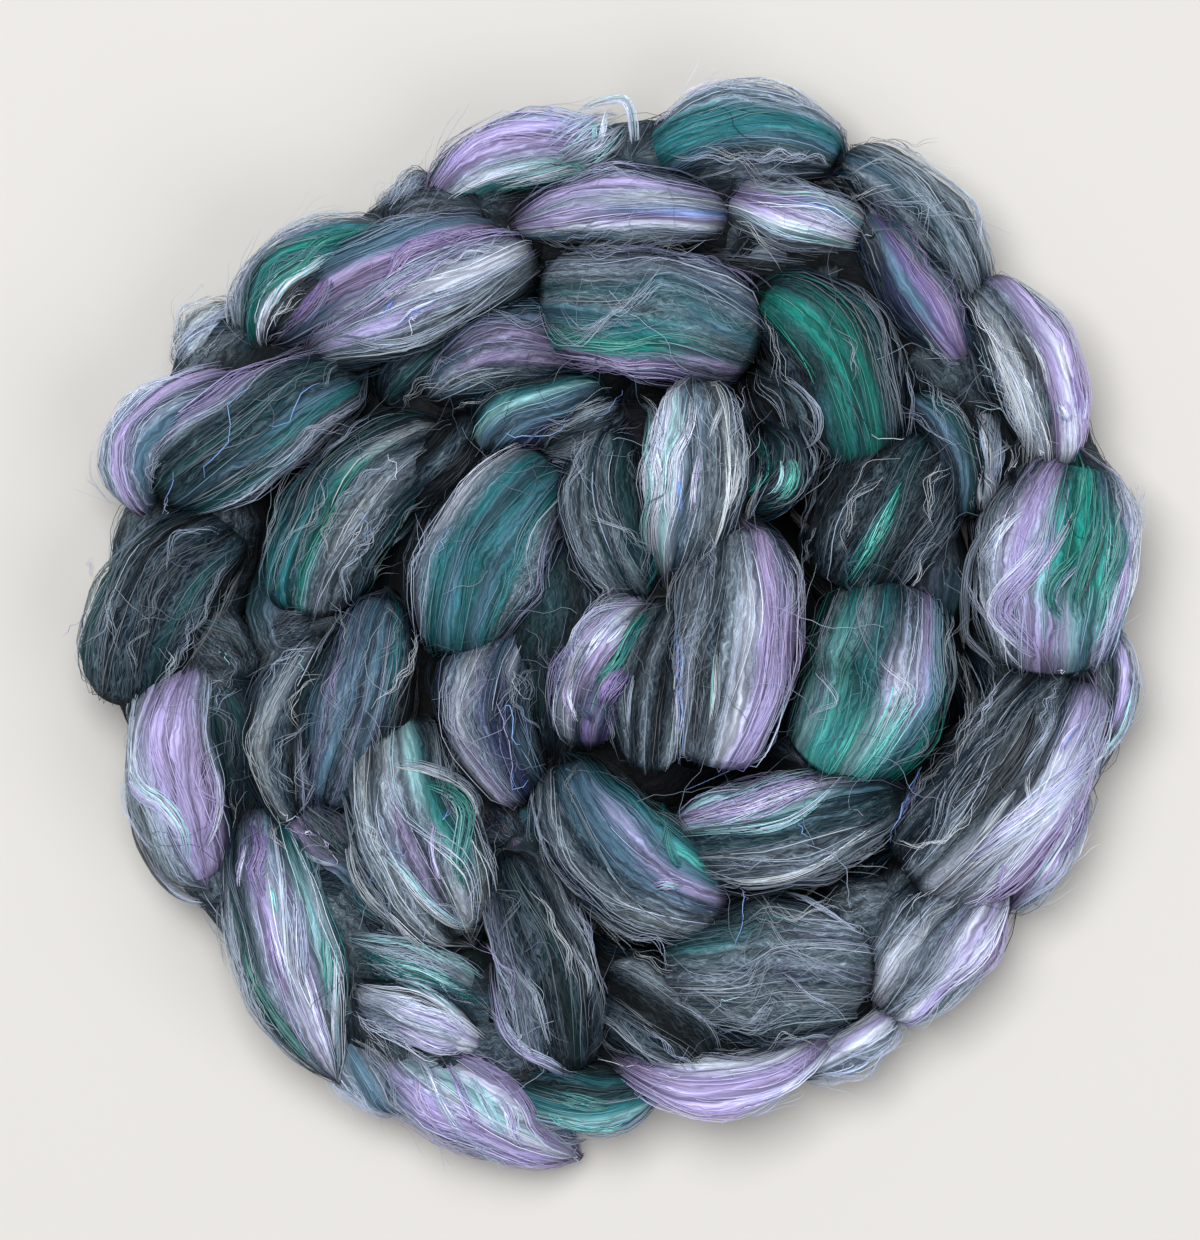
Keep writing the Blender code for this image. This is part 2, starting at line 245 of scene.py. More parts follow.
# The middle line's distance from the centre in millimetres, by how far it has wound.
Wound = namedtuple("Wound", "turns radius")
WINDING = [
    Wound(0.0, 88.0),
    Wound(0.1, 86.0),
    Wound(0.27, 88.0),
    Wound(0.37, 81.0),
    Wound(0.48, 87.0),
    Wound(0.7, 87.0),
    Wound(0.9, 81.0),
    Wound(1.25, 58.0),
    Wound(1.75, 57.0),
    Wound(2.0, 46.0),
    Wound(2.25, 33.0),
    Wound(3.0, 27.0),
    Wound(3.4, 10.0),
]
COIL_START = math.radians(-110)
LINK_SPACING = 24.0
LINK_LENGTH = 44.0
LINK_WIDEST = 1.3  # the angle that a fold takes up at the most, in radians
LINK_LEAN = 6.0  # how far a fold's ends lie to each side of the middle line
LINK_WIDTH = 32.0
LINK_END = End(0.6, -3.0, 2.0)  # it goes up into the braid
CORE_END = End(0.8, 0.0, 2.0)
LINK_DYES = ["kgtubksk", "muulsbkk", "xkgtetbk", "uuttgkbs", "kmvlsbkk", "bskxkbgk", "tuulbsmk"]
OUTER_DYES = ["bkmgbkk", "kbgukbk"]

SECTION_FLATNESS = 0.86  # a fold's height over its width
BED_DEPTH = 1.8  # how much the coil's own weight flattens the folds on the surface


def wound_radius(turns):
    for before, after in zip(WINDING, WINDING[1:]):
        if turns <= after.turns:
            share = (turns - before.turns) / (after.turns - before.turns)
            eased = share * share * (3 - 2 * share)
            return before.radius + (after.radius - before.radius) * eased
    return WINDING[-1].radius


def round_coil(radius, angle):
    return (radius * math.cos(angle), radius * math.sin(angle))


def under_folds():
    """The folds of the underside, from the tail to the core."""
    top = LINK_WIDTH * SECTION_FLATNESS - BED_DEPTH
    folds = []
    wound = 0.0
    while wound < 2 * math.pi * WINDING[-1].turns:
        radius = wound_radius(wound / (2 * math.pi))
        angle = COIL_START - wound
        reach = min(LINK_LENGTH / radius, LINK_WIDEST) / 2
        number = len(folds)
        lean = LINK_LEAN if number % 2 else -LINK_LEAN
        start = round_coil(radius + lean, angle + reach)
        mid = round_coil(radius, angle)
        end = round_coil(radius - lean, angle - reach)
        outer = wound < 2 * math.pi
        kinds = OUTER_DYES if outer else LINK_DYES
        dyes = kinds[number % len(kinds)] + "/" + kinds[(number + 1) % len(kinds)]
        name = f"outer_link_{number}" if outer else f"inner_link_{number}"
        folds.append(Fold(name, start, mid, end, LINK_WIDTH, top, dyes, 0, 0, LINK_END, LINK_END))
        wound += LINK_SPACING / radius
    core = Fold("core", (-16, -9), (0, 0), (16, 9), LINK_WIDTH, top, "kgtk", 0, 0, CORE_END, CORE_END)
    return folds + [core]


def on_outer_turn(fold):
    return fold.name.startswith("outer_link")


TURNS = {
    "far_rim": FAR_RIM,
    "near_rim": NEAR_RIM,
    "middle_turn": MIDDLE_TURN,
    "centre": CENTRE,
    "underside": HEART + under_folds(),
}


# --- The skin of the folds ---------------------------------------------------------------------
# The mass of each fold under its outermost fibres: combed top in fine streaks of wool and silk,
# soft and lumpy from the hands that worked it, with pale hairs drawn out of the wool. Its colours
# carry painted shade under the fibres and painted light and shade from the folds round it.

BED_GAP = 0.6  # the fibres' clearance over the surface, in millimetres
FULLNESS = 0.8  # the power of a fold's swelling: the less, the fuller
ROUNDING = 16  # the power that rounds off a fold's very ends
STEP_ALONG = 0.01  # the share of a fold from a place to the ones that give its direction
# The coarse and the fine lumps of a fold: how far they swell and sink, in millimetres and over the
# coarse ones, and how they wave along it, in radians. The streaks stray to each side alike.
LUMP = 0.7
FINE_LUMPS = 0.6
LUMP_WAVES = (8, 17)
MEANDER = 0.9
FINE_MEANDER = 0.3
MEANDER_WAVES = (6, 13)


def to_ends(along, power=1):
    """From 0 in the middle to 1 at both ends."""
    return np.abs(2 * along - 1) ** power


def raised(plan, heights):
    return np.concatenate([plan, heights[..., None]], axis=-1)


def unit(vectors):
    return vectors / np.linalg.norm(vectors, axis=-1, keepdims=True).clip(1e-12)


def fold_spine(fold, along):
    """The points of a fold's middle line and its widths there, in metres, for places from 0 to 1."""
    start, mid, end = (np.array(place, float) for place in (fold.start, fold.mid, fold.end))
    control = 2 * mid - (start + end) / 2
    here = along[..., None]
    plan = (1 - here) ** 2 * start + 2 * here * (1 - here) * control + here**2 * end
    ends = zip(fold.first, fold.last)
    pinch, dip, turn = (np.where(along < 0.5, first, last) for first, last in ends)
    bulge = pinch + (1 - pinch) * np.sin(np.pi * along.clip(0, 1)) ** FULLNESS
    width = fold.width * bulge * np.sqrt(1 - to_ends(along).clip(0, 0.999) ** ROUNDING)
    height = fold.top - dip * to_ends(along) ** turn - width * SECTION_FLATNESS / 2
    return raised(plan, height) * MM, width * MM


def lumps(fold, along, turned):
    """The soft lumps of a fold worked by hand, in metres."""
    own = fold.start[0] + 2 * fold.start[1]
    coarse = np.sin(LUMP_WAVES[0] * along + 2 * turned + own)
    fine = np.sin(LUMP_WAVES[1] * along - 3 * turned + 2 * own)
    return LUMP * MM * (coarse + FINE_LUMPS * fine)


def fold_surface(fold, along, turned, lift=0.0):
    """Points on a fold's surface, raised by lift. Turned is the way round it from its left side
    over the top, in radians."""
    along, turned, lift = np.broadcast_arrays(along, turned, lift)
    centre, width = fold_spine(fold, along)
    ahead = fold_spine(fold, (along + STEP_ALONG).clip(0, 1))[0]
    behind = fold_spine(fold, (along - STEP_ALONG).clip(0, 1))[0]
    forward = unit(ahead - behind)
    left = unit(np.cross(np.array([0.0, 0.0, 1.0]), forward))
    rise = np.cross(forward, left)
    out = width / 2 + lift + lumps(fold, along, turned) * width / (fold.width * MM)
    flattened = out - width / 2 * (1 - SECTION_FLATNESS)
    points = centre + (np.cos(turned) * out)[..., None] * left
    points = points + (np.sin(turned) * flattened)[..., None] * rise
    points[..., 2] = points[..., 2].clip(BED_GAP * MM)
    return points


def drift(fold, along, lane):
    """How far a fold's streaks have turned round it here, in radians."""
    own = fold.start[0] - fold.end[1]
    broad = np.sin(MEANDER_WAVES[0] * along + 1.3 * lane + own)
    fine = np.sin(MEANDER_WAVES[1] * along - 2 * lane + own)
    bend = fold.twist * (along - 0.5) + fold.sway * np.sin(2 * np.pi * along)
    return np.radians(bend) + MEANDER / (fold.width / 2) * (broad + FINE_MEANDER * fine)


def across(lane):
    """How far across a fold a lane lies as seen from above, from 0 to 1."""
    return (1 - np.cos(lane)) / 2


def letters_at(fold, share, along):
    """The letters of a fold's dyes at places across and along it."""
    rows = fold.dyes.split("/")
    share, along = np.broadcast_arrays(share, along)
    own_row = (along * len(rows)).clip(0, len(rows) - 1).astype(int)
    letters = np.empty(share.shape, "<U1")
    for number, streaks in enumerate(rows):
        here = own_row == number
        streak = (share[here] * len(streaks)).clip(0, len(streaks) - 1).astype(int)
        letters[here] = np.array(list(streaks))[streak]
    return letters


# Painted light and shade: the light that gets between the folds, by the heights of their
# surroundings on a grid, painted into the colours of the skins and the fibres.
GRID_STEP = 1.5 * MM
GRID_REACH = 126.0 * MM
SAMPLES = 60  # how many places along a fold, and how many round it, give the heights
HOLLOW_REACH = 6.0 * MM  # how far round it the folds shade a place
HOLLOW_DEPTH = 7.5 * MM  # how far below its surroundings a place gets no light
UNDER_HOLLOW_DEPTH = 4.5 * MM  # and a place on the underside's folds, where they show between
UNDER_LIGHT = 0.5  # how much of the light gets there
RIM_LIGHT = 0.8  # and to the outer turn's
# Painted shade in the hollows at the least, and painted highlights on the crowns at the most.
LEAST_LIGHT = 0.06
MOST_LIGHT = 1.65
END_SHADE = 0.85  # how much of the light a fold loses at its very ends
END_SHADE_TURN = 5  # and how late it loses it
LIGHT_FROM_BELOW = 0.6  # the power of its falling off from the middle of a fold's underside


def smoothed(grid, reach):
    """A grid of heights, smoothed as far as reach, in steps of the grid."""
    offsets = np.arange(-3 * reach, 3 * reach + 1)
    weights = np.exp(-((offsets / reach) ** 2) / 2)
    weights = weights / weights.sum()
    for axis in (0, 1):
        grid = np.apply_along_axis(np.convolve, axis, grid, weights, mode="same")
    return grid


def heights_round(folds):
    """A grid of the folds' heights as a place's surroundings have them, in metres."""
    side = int(2 * GRID_REACH / GRID_STEP) + 1
    heights = np.zeros((side, side))
    along = np.linspace(0, 1, SAMPLES)[:, None]
    turned = np.radians(np.linspace(0, 180, SAMPLES))[None, :]
    for fold in folds:
        points = fold_surface(fold, along, turned).reshape(-1, 3)
        column, row = ((points[:, :2].T + GRID_REACH) / GRID_STEP).round().astype(int)
        np.maximum.at(heights, (column, row), points[:, 2])
    return smoothed(heights, round(HOLLOW_REACH / GRID_STEP))


def light_at(points, depth=HOLLOW_DEPTH):
    """How much light a place gets between the folds, where 1 is level with its surroundings."""
    place = ((points[..., :2] + GRID_REACH) / GRID_STEP).round().astype(int)
    place = place.clip(0, len(surroundings) - 1)
    around = surroundings[place[..., 0], place[..., 1]]
    return (1 - (around - points[..., 2]) / depth).clip(LEAST_LIGHT, MOST_LIGHT)


def light_on(fold, points, along, turned):
    """How much light a place on a fold gets. It is darker near the fold's tucked ends, and what
    faces down on the underside gets the light from below."""
    if fold.last not in (LINK_END, CORE_END):
        return light_at(points) * (1 - END_SHADE * to_ends(along, END_SHADE_TURN))
    below = (-np.sin(turned)).clip(0, 1) ** LIGHT_FROM_BELOW
    between = RIM_LIGHT if on_outer_turn(fold) else UNDER_LIGHT
    return np.maximum(between * light_at(points, UNDER_HOLLOW_DEPTH), below)


def linear(hex_colour):
    """The linear RGB of an sRGB hex colour."""
    values = [int(hex_colour[place : place + 2], 16) / 255 for place in (1, 3, 5)]
    return [v / 12.92 if v <= 0.04045 else ((v + 0.055) / 1.055) ** 2.4 for v in values]


def add_node(tree, kind, settings, *inputs, **named_inputs):
    """Adds a node with its settings, or only the name of its operation. Its inputs, in order, or
    named or numbered as in_6, are values, sockets, or nodes for their first output."""
    node = tree.nodes.new(kind)
    settings = {"operation": settings} if isinstance(settings, str) else settings
    for name, value in settings.items():
        setattr(node, name, value)
    given = dict(enumerate(inputs))
    for name, value in named_inputs.items():
        given[int(name[3:]) if name.startswith("in_") else name.replace("_", " ")] = value
    for key, value in given.items():
        value = value.outputs[0] if isinstance(value, bpy.types.Node) else value
        if isinstance(value, bpy.types.NodeSocket):
            tree.links.new(value, node.inputs[key])
        else:
            node.inputs[key].default_value = value
    return node


LOCK_STREAK = (1.7, 26.0)  # millimetres, the width and length of one lock's streak
FIBRE_STREAK = (0.5, 9.0)  # finer in real wool, and drawn as coarse as a render shows
# How a streak's noise, from and to, becomes its brightness, from and to.
LOCK_CONTRAST = (0.38, 0.62, 0.45, 1.4)
FIBRE_CONTRAST = (0.34, 0.68, 0.65, 1.25)
CRINKLES = [(5.0, 1.6), (1.6, 0.6)]  # millimetres from crinkle to crinkle, and how far they stray
# The layers of hair, by their angle to the combing in degrees and the width and length of one hair.
HAIR_LAYERS = [(-22, 0.9, 5.0), (6, 0.7, 7.0), (26, 1.0, 4.0)]
HAIR_EDGE = 0.055
# How much finer than its own size a streak, a crinkle and a hair are broken up.
STREAK_DETAIL = 2.0
CRINKLE_DETAIL = 1.5
HAIR_DETAIL = 1.0
HAIR_COLOUR = "#8A9EA9"
HAIR_STRENGTH = 0.4
RELIEF = {"Strength": 0.7, "Distance": 0.25 * MM}
SKIN_ROUGHNESS = 0.75
SKIN_GLOSS = 0.15


def combed_top_material():
    """Combed wool top: matt and soft, its dyes broken into fine streaks and crinkled by the wool."""
    material = bpy.data.materials.new("combed_wool_top")
    material.use_nodes = True
    shader = material.node_tree.nodes["Principled BSDF"]
    node = partial(add_node, material.node_tree)
    # The dye attribute holds each point's dye with its painted light and shade, and in its alpha the
    # hairiness with the same painted light and shade.
    dye = node("ShaderNodeVertexColor", {"layer_name": "dye"})
    combing = node("ShaderNodeUVMap", {"uv_map": "combing"})

    def streaks(place, width, length, detail):
        stretched = node("ShaderNodeMapping", {}, place, Scale=(1 / width, 1 / length, 1))
        return node("ShaderNodeTexNoise", {}, Vector=stretched, Scale=1.0, Detail=detail)

    strayed = combing
    for reach, depth in CRINKLES:
        crinkle = streaks(combing, reach, reach, CRINKLE_DETAIL).outputs["Color"]
        centred = node("ShaderNodeVectorMath", "SUBTRACT", crinkle, (0.5, 0.5, 0.5))
        reaches = (2 * depth, 2 * depth, 0)
        strayed = node("ShaderNodeVectorMath", "MULTIPLY_ADD", centred, reaches, strayed)
    locks = streaks(strayed, *LOCK_STREAK, STREAK_DETAIL)
    locks = node("ShaderNodeMapRange", {}, locks, *LOCK_CONTRAST)
    fibres = streaks(strayed, *FIBRE_STREAK, STREAK_DETAIL)
    fibres = node("ShaderNodeMapRange", {}, fibres, *FIBRE_CONTRAST)
    bright = node("ShaderNodeMath", "MULTIPLY", locks, fibres)
    hairs = 0.0
    for angle, width, length in HAIR_LAYERS:
        turned = node("ShaderNodeMapping", {}, strayed, Rotation=(0, 0, math.radians(angle)))
        hair = streaks(turned, width, length, HAIR_DETAIL)
        off_hair = node("ShaderNodeMath", "SUBTRACT", hair, 0.5)
        off_hair = node("ShaderNodeMath", "ABSOLUTE", off_hair)
        hair = node("ShaderNodeMapRange", {}, off_hair, 0.0, HAIR_EDGE, 1.0, 0.0)
        hairs = node("ShaderNodeMath", "ADD", hair, hairs)
    hairs = node("ShaderNodeMath", "MULTIPLY", hairs, locks)
    # The hairs take the painted light and shade that the alpha carries.
    hairy = node("ShaderNodeMath", "MULTIPLY", hairs, dye.outputs["Alpha"])
    pale = [value * HAIR_STRENGTH for value in linear(HAIR_COLOUR)]
    pale_hairs = node("ShaderNodeVectorMath", "SCALE", pale, Scale=hairy)
    streaked = node("ShaderNodeVectorMath", "SCALE", dye, Scale=bright)
    haired = node("ShaderNodeVectorMath", "ADD", pale_hairs, streaked)
    relief = node("ShaderNodeBump", {}, Height=node("ShaderNodeMath", "ADD", bright, hairy), **RELIEF)
    material.node_tree.links.new(haired.outputs[0], shader.inputs["Base Color"])
    material.node_tree.links.new(relief.outputs[0], shader.inputs["Normal"])
    shader.inputs["Roughness"].default_value = SKIN_ROUGHNESS
    shader.inputs["Specular IOR Level"].default_value = SKIN_GLOSS
    return material


SKIN_DEPTH = 0.8
TOP_RINGS = 16
TOP_SIDES = 46
SIDES_BELOW = 8  # of a fold on the top, as its underside lies hidden
BELOW_SIDE = 0.3  # how far below its sides they start, in radians
UNDER_RINGS = 12
UNDER_SIDES = 24
GIRTH_OVER_WIDTH = 3.0
LENGTH_OVER_WIDTH = 2.2
MAP_GAP = 100  # millimetres from fold to fold on the combing map
CELL_MARGIN = 0.03
# Painted shade: the skin between the fibres is painted darker than its dye, as it lies in their shade.
SHADE_BETWEEN_FIBRES = {"silk": 0.72, "wool": 0.36}  # how bright it is between the fibres, over the dye
HAIRINESS = {"x": 0.08, "k": 0.4, "y": 0.6, "silk": 0.15, "wool": 1.0}


def angles_round(sides, sides_below):
    """The angles of a ring's points from the left side over the top, in radians, with those below
    spaced more widely."""
    low, high = math.pi + BELOW_SIDE, 2 * math.pi - BELOW_SIDE
    above = np.linspace(-BELOW_SIDE, low, sides - sides_below)
    return np.concatenate([above, np.linspace(low, high, sides_below + 2)[1:-1]])


def fold_skin(fold, rings, angles):
    """A fold's closed skin: its points, its quads and end triangles, and each point's colour, with how
    hairy it is: its dye in painted shade under the fibres, with painted light and shade from the
    folds round it on both. The points run round each ring from the left side over the top."""
    along = (1 - np.cos(np.pi * (np.arange(rings) + 0.5) / rings))[:, None] / 2
    turned = angles[None, :]
    points = fold_surface(fold, along, turned, -SKIN_DEPTH * MM)
    tips = fold_spine(fold, np.array([0.0, 1.0]))[0]
    tips[:, 2] = tips[:, 2].clip(BED_GAP * MM)

    place = np.arange(rings * len(angles)).reshape(rings, -1)
    beside = np.roll(place, -1, axis=1)
    quads = np.stack([place[:-1], beside[:-1], beside[1:], place[1:]], axis=-1).reshape(-1, 4)
    first_cap = [(b, a, place.size) for a, b in zip(place[0], beside[0])]
    last_cap = [(a, b, place.size + 1) for a, b in zip(place[-1], beside[-1])]
    faces = [tuple(quad) for quad in quads.tolist()] + first_cap + last_cap

    letters = letters_at(fold, across(turned - drift(fold, along, turned)), along)
    ground = {
        dye.letter: [value * SHADE_BETWEEN_FIBRES[dye.fibre] for value in linear(dye.colour)]
        + [HAIRINESS.get(dye.letter, HAIRINESS[dye.fibre])]
        for dye in DYES
    }
    colours = np.array([[ground[letter] for letter in row] for row in letters])
    colours = (np.roll(colours, 1, axis=1) + 2 * colours + np.roll(colours, -1, axis=1)) / 4
    colours[1:-1] = (colours[:-2] + 2 * colours[1:-1] + colours[2:]) / 4
    # Painted light and shade from the folds round it, on the dye and on the hairiness alike.
    colours *= light_on(fold, points, along, turned)[..., None]
    colours = colours.reshape(-1, 4)
    colours = np.concatenate([colours, colours[:1], colours[-1:]])
    return np.concatenate([points.reshape(-1, 3), tips]), faces, colours


def skin_places(faces, fold, rings, angles, number, cells):
    """For each corner of a fold's skin, its place on the combing map in millimetres, and its place
    in the fold's own cell of the piece's map."""
    sides_round = len(angles)
    tip = rings * sides_round
    around = np.append(angles, angles[0] + 2 * math.pi) / (2 * math.pi)
    combing, own = [], []
    cell = (number % cells, number // cells)
    for face in faces:
        sides = [corner % sides_round for corner in face if corner < tip]
        wraps = max(sides) - min(sides) > sides_round / 2
        for corner in face:
            if corner >= tip:
                side = (sum(sides) + (sides_round if wraps else 0)) / len(sides)
                ring = -0.5 if corner == tip else rings - 0.5
            else:
                side = corner % sides_round
                side += sides_round if wraps and side == 0 else 0
                ring = corner // sides_round
            shares = (side / sides_round, (ring + 0.5) / rings)
            round_it = np.interp(side, np.arange(sides_round + 1), around) * GIRTH_OVER_WIDTH
            from_start = shares[1] * LENGTH_OVER_WIDTH
            combing.append((round_it * fold.width + MAP_GAP * number, from_start * fold.width))
            in_cell = [CELL_MARGIN + (1 - 2 * CELL_MARGIN) * share for share in shares]
            own.append([(place + share) / cells for place, share in zip(cell, in_cell)])
    return combing, own


def dress(piece):
    """Puts a piece of the roving in the scene in the place of its solid."""
    bpy.context.scene.collection.objects.link(piece)
    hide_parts("roving_braid")
    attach(piece, "root")
    return piece


def make_skins(name, folds, rings, angles, material):
    points, faces, colours, combing, own = [], [], [], [], []
    cells = math.ceil(math.sqrt(len(folds)))
    offset = 0
    for number, fold in enumerate(folds):
        skin_points, skin_faces, skin_colours = fold_skin(fold, rings, angles)
        places, cell_places = skin_places(skin_faces, fold, rings, angles, number, cells)
        faces += [tuple(int(corner) + offset for corner in face) for face in skin_faces]
        offset += len(skin_points)
        points.append(skin_points)
        colours.append(skin_colours)
        combing += places
        own += cell_places
    mesh = bpy.data.meshes.new(name)
    mesh.from_pydata(np.concatenate(points).tolist(), [], faces)
    # The dye attribute: the dye with its painted light and shade, and the hairiness in its alpha.
    dye = mesh.color_attributes.new("dye", "FLOAT_COLOR", "POINT")
    dye.data.foreach_set("color", np.concatenate(colours).ravel())
    for map_name, places in (("OFBake", own), ("combing", combing)):
        layer = mesh.uv_layers.new(name=map_name)
        layer.uv.foreach_set("vector", np.array(places, np.float32).ravel())
    mesh.polygons.foreach_set("use_smooth", [True] * len(mesh.polygons))
    mesh.materials.append(material)
    return dress(bpy.data.objects.new(name, mesh))


surroundings = heights_round(FAR_RIM + NEAR_RIM + MIDDLE_TURN + CENTRE)
combed_top = combed_top_material()
skins = []
for turn_name, folds in TURNS.items():
    if turn_name == "underside":
        rings, angles = UNDER_RINGS, 2 * np.pi * np.arange(UNDER_SIDES) / UNDER_SIDES
    else:
        rings, angles = TOP_RINGS, angles_round(TOP_SIDES, SIDES_BELOW)
    skins.append(make_skins(f"{turn_name}_folds", folds, rings, angles, combed_top))


# --- The combed fibres -------------------------------------------------------------------------
# The outermost staples of the combed top, wool and silk side by side in small locks. Each runs
# most of a fold's length in its own lane, and its ends slip back into the roving. They are drawn
# several times as thick as real fibres, as the fine strands that show at arm's length.

MAP_MARGIN = 0.3  # the share of a dye's column on the map that a fibre keeps to
MAP_SHADES = (0.02, 0.94)  # and its deepest and palest shade there
# Painted light and shade: the map's deepest shade is painted shade and its brightest a painted highlight,
# over the dye.
DEEPEST = 0.05  # how bright the map's deepest and palest shades are, over the dye
BRIGHTEST = 1.7
# Painted highlight: a fibre's palest shades are mixed towards pale, as far as this share.
PALE = "#D3DAE4"  # what a fibre's palest shade turns to
PALE_FROM = 0.5
PALE_SHARE = 0.35


def dye_and_painted_light(tree):
    """The colour of a fibre from its place on the map: across, a column for each dye, and up, from its
    deepest to its palest shade, which is its own tone with painted light and shade on it: the
    deepest is painted shade, the palest a painted highlight mixed towards pale."""
    node = partial(add_node, tree)
    place = node("ShaderNodeSeparateXYZ", {}, node("ShaderNodeUVMap", {"uv_map": "OFBake"})).outputs
    columns = node("ShaderNodeValToRGB", {}, place["X"])
    columns.color_ramp.interpolation = "CONSTANT"
    stops = columns.color_ramp.elements
    for number, dye in enumerate(DYES):
        stop = stops[number] if number < 2 else stops.new(number / len(DYES))
        stop.position = number / len(DYES)
        stop.color = (*linear(dye.colour), 1)
    depth = node("ShaderNodeMapRange", {}, place["Y"], To_Min=DEEPEST, To_Max=BRIGHTEST)
    shade = node("ShaderNodeVectorMath", "SCALE", columns, Scale=depth)
    paler = node("ShaderNodeMapRange", {}, place["Y"], From_Min=PALE_FROM, To_Max=PALE_SHARE)
    pale = (*linear(PALE), 1)
    return node("ShaderNodeMix", {"data_type": "RGBA"}, paler, in_6=shade, in_7=pale).outputs[2]


def fibre_material(name, roughness, gloss):
    """Wool and silk fibre: its dye, painted light and shade from its place on the map, and a soft gloss."""
    material = bpy.data.materials.new(name)
    material.use_nodes = True
    tree = material.node_tree
    shader = tree.nodes["Principled BSDF"]
    tree.links.new(dye_and_painted_light(tree), shader.inputs["Base Color"])
    shader.inputs["Roughness"].default_value = roughness
    shader.inputs["Specular IOR Level"].default_value = gloss
    return material


# A group of fibres as lines: a row of points for each fibre, with the girth and the shade at each
# point, its own tone with painted light and shade on it, and the fibre's dye column, its crimp and
# its own wave.
Lines = namedtuple("Lines", "points girth dye_shade dye_column own_crimp own_wave")
SPINNING_INPUTS = {
    "Geometry": "NodeSocketGeometry",
    "Crimp depth": "NodeSocketFloat",
    "Crimp length": "NodeSocketFloat",
    "Sides": "NodeSocketInt",
    "Finish": "NodeSocketMaterial",
}
END_ROOM = 0.03  # how far up the map a fibre's own shade runs
WAVES_IN_NOISE = 4.0  # how much farther a noise ranges than its waves mostly reach
WAVE_DETAIL = 1.0


def spinning_tree():
    """Geometry nodes that turn lines into crimped fibres: each line waves a little on its own, gets
    its girth from its points, and is mapped to its dye and to its shade in painted light."""
    tree = bpy.data.node_groups.new("spun_fibres", "GeometryNodeTree")
    for name, kind in SPINNING_INPUTS.items():
        tree.interface.new_socket(name, in_out="INPUT", socket_type=kind)
    tree.interface.new_socket("Geometry", in_out="OUTPUT", socket_type="NodeSocketGeometry")
    node = partial(add_node, tree)
    given = node("NodeGroupInput", {}).outputs
    own = {
        name: node("GeometryNodeInputNamedAttribute", {"data_type": "FLOAT"}, Name=name)
        for name in (*Lines._fields[1:], "end_to_end", "round_it")
    }
    lines = node("GeometryNodeMeshToCurve", {}, given["Geometry"])
    place = node("GeometryNodeInputPosition", {})
    waves = node("ShaderNodeMath", "DIVIDE", 1.0, given["Crimp length"])
    noise = {"W": own["own_wave"], "Scale": waves, "Detail": WAVE_DETAIL}
    wave = node("ShaderNodeTexNoise", {"noise_dimensions": "4D"}, place, **noise)
    centred = node("ShaderNodeVectorMath", "SUBTRACT", wave.outputs["Color"], (0.5, 0.5, 0.5))
    depth = node("ShaderNodeMath", "MULTIPLY", given["Crimp depth"], WAVES_IN_NOISE)
    depth = node("ShaderNodeMath", "MULTIPLY", depth, own["own_crimp"])
    stray = node("ShaderNodeVectorMath", "SCALE", centred, Scale=depth)
    waved = node("GeometryNodeSetPosition", {}, lines, Offset=stray)

    at_points = {"data_type": "FLOAT", "domain": "POINT"}
    along = node("GeometryNodeSplineParameter", {})
    laid = node("GeometryNodeStoreNamedAttribute", at_points, waved, Name="end_to_end", Value=along)
    ring = node("GeometryNodeCurvePrimitiveCircle", {}, Resolution=given["Sides"], Radius=1.0)
    ring = node("GeometryNodeStoreNamedAttribute", at_points, ring, Name="round_it", Value=along)
    tubes = node(
        "GeometryNodeCurveToMesh", {}, laid, Profile_Curve=ring, Scale=own["girth"], Fill_Caps=True
    )
    room = MAP_MARGIN / len(DYES)
    column = node("ShaderNodeMath", "MULTIPLY_ADD", own["round_it"], room, own["dye_column"])
    shade = node("ShaderNodeMath", "MULTIPLY_ADD", own["end_to_end"], END_ROOM, own["dye_shade"])
    place = node("ShaderNodeCombineXYZ", {}, column, shade)
    at_corners = {"data_type": "FLOAT2", "domain": "CORNER"}
    mapped = node("GeometryNodeStoreNamedAttribute", at_corners, tubes, Name="OFBake", Value=place)
    smooth = node("GeometryNodeSetShadeSmooth", {}, mapped)
    real = node("GeometryNodeRealizeInstances", {}, smooth)
    finished = node("GeometryNodeSetMaterial", {}, real, Material=given["Finish"])
    node("NodeGroupOutput", {}, finished)
    return tree


FIBRE_SIDES = 3


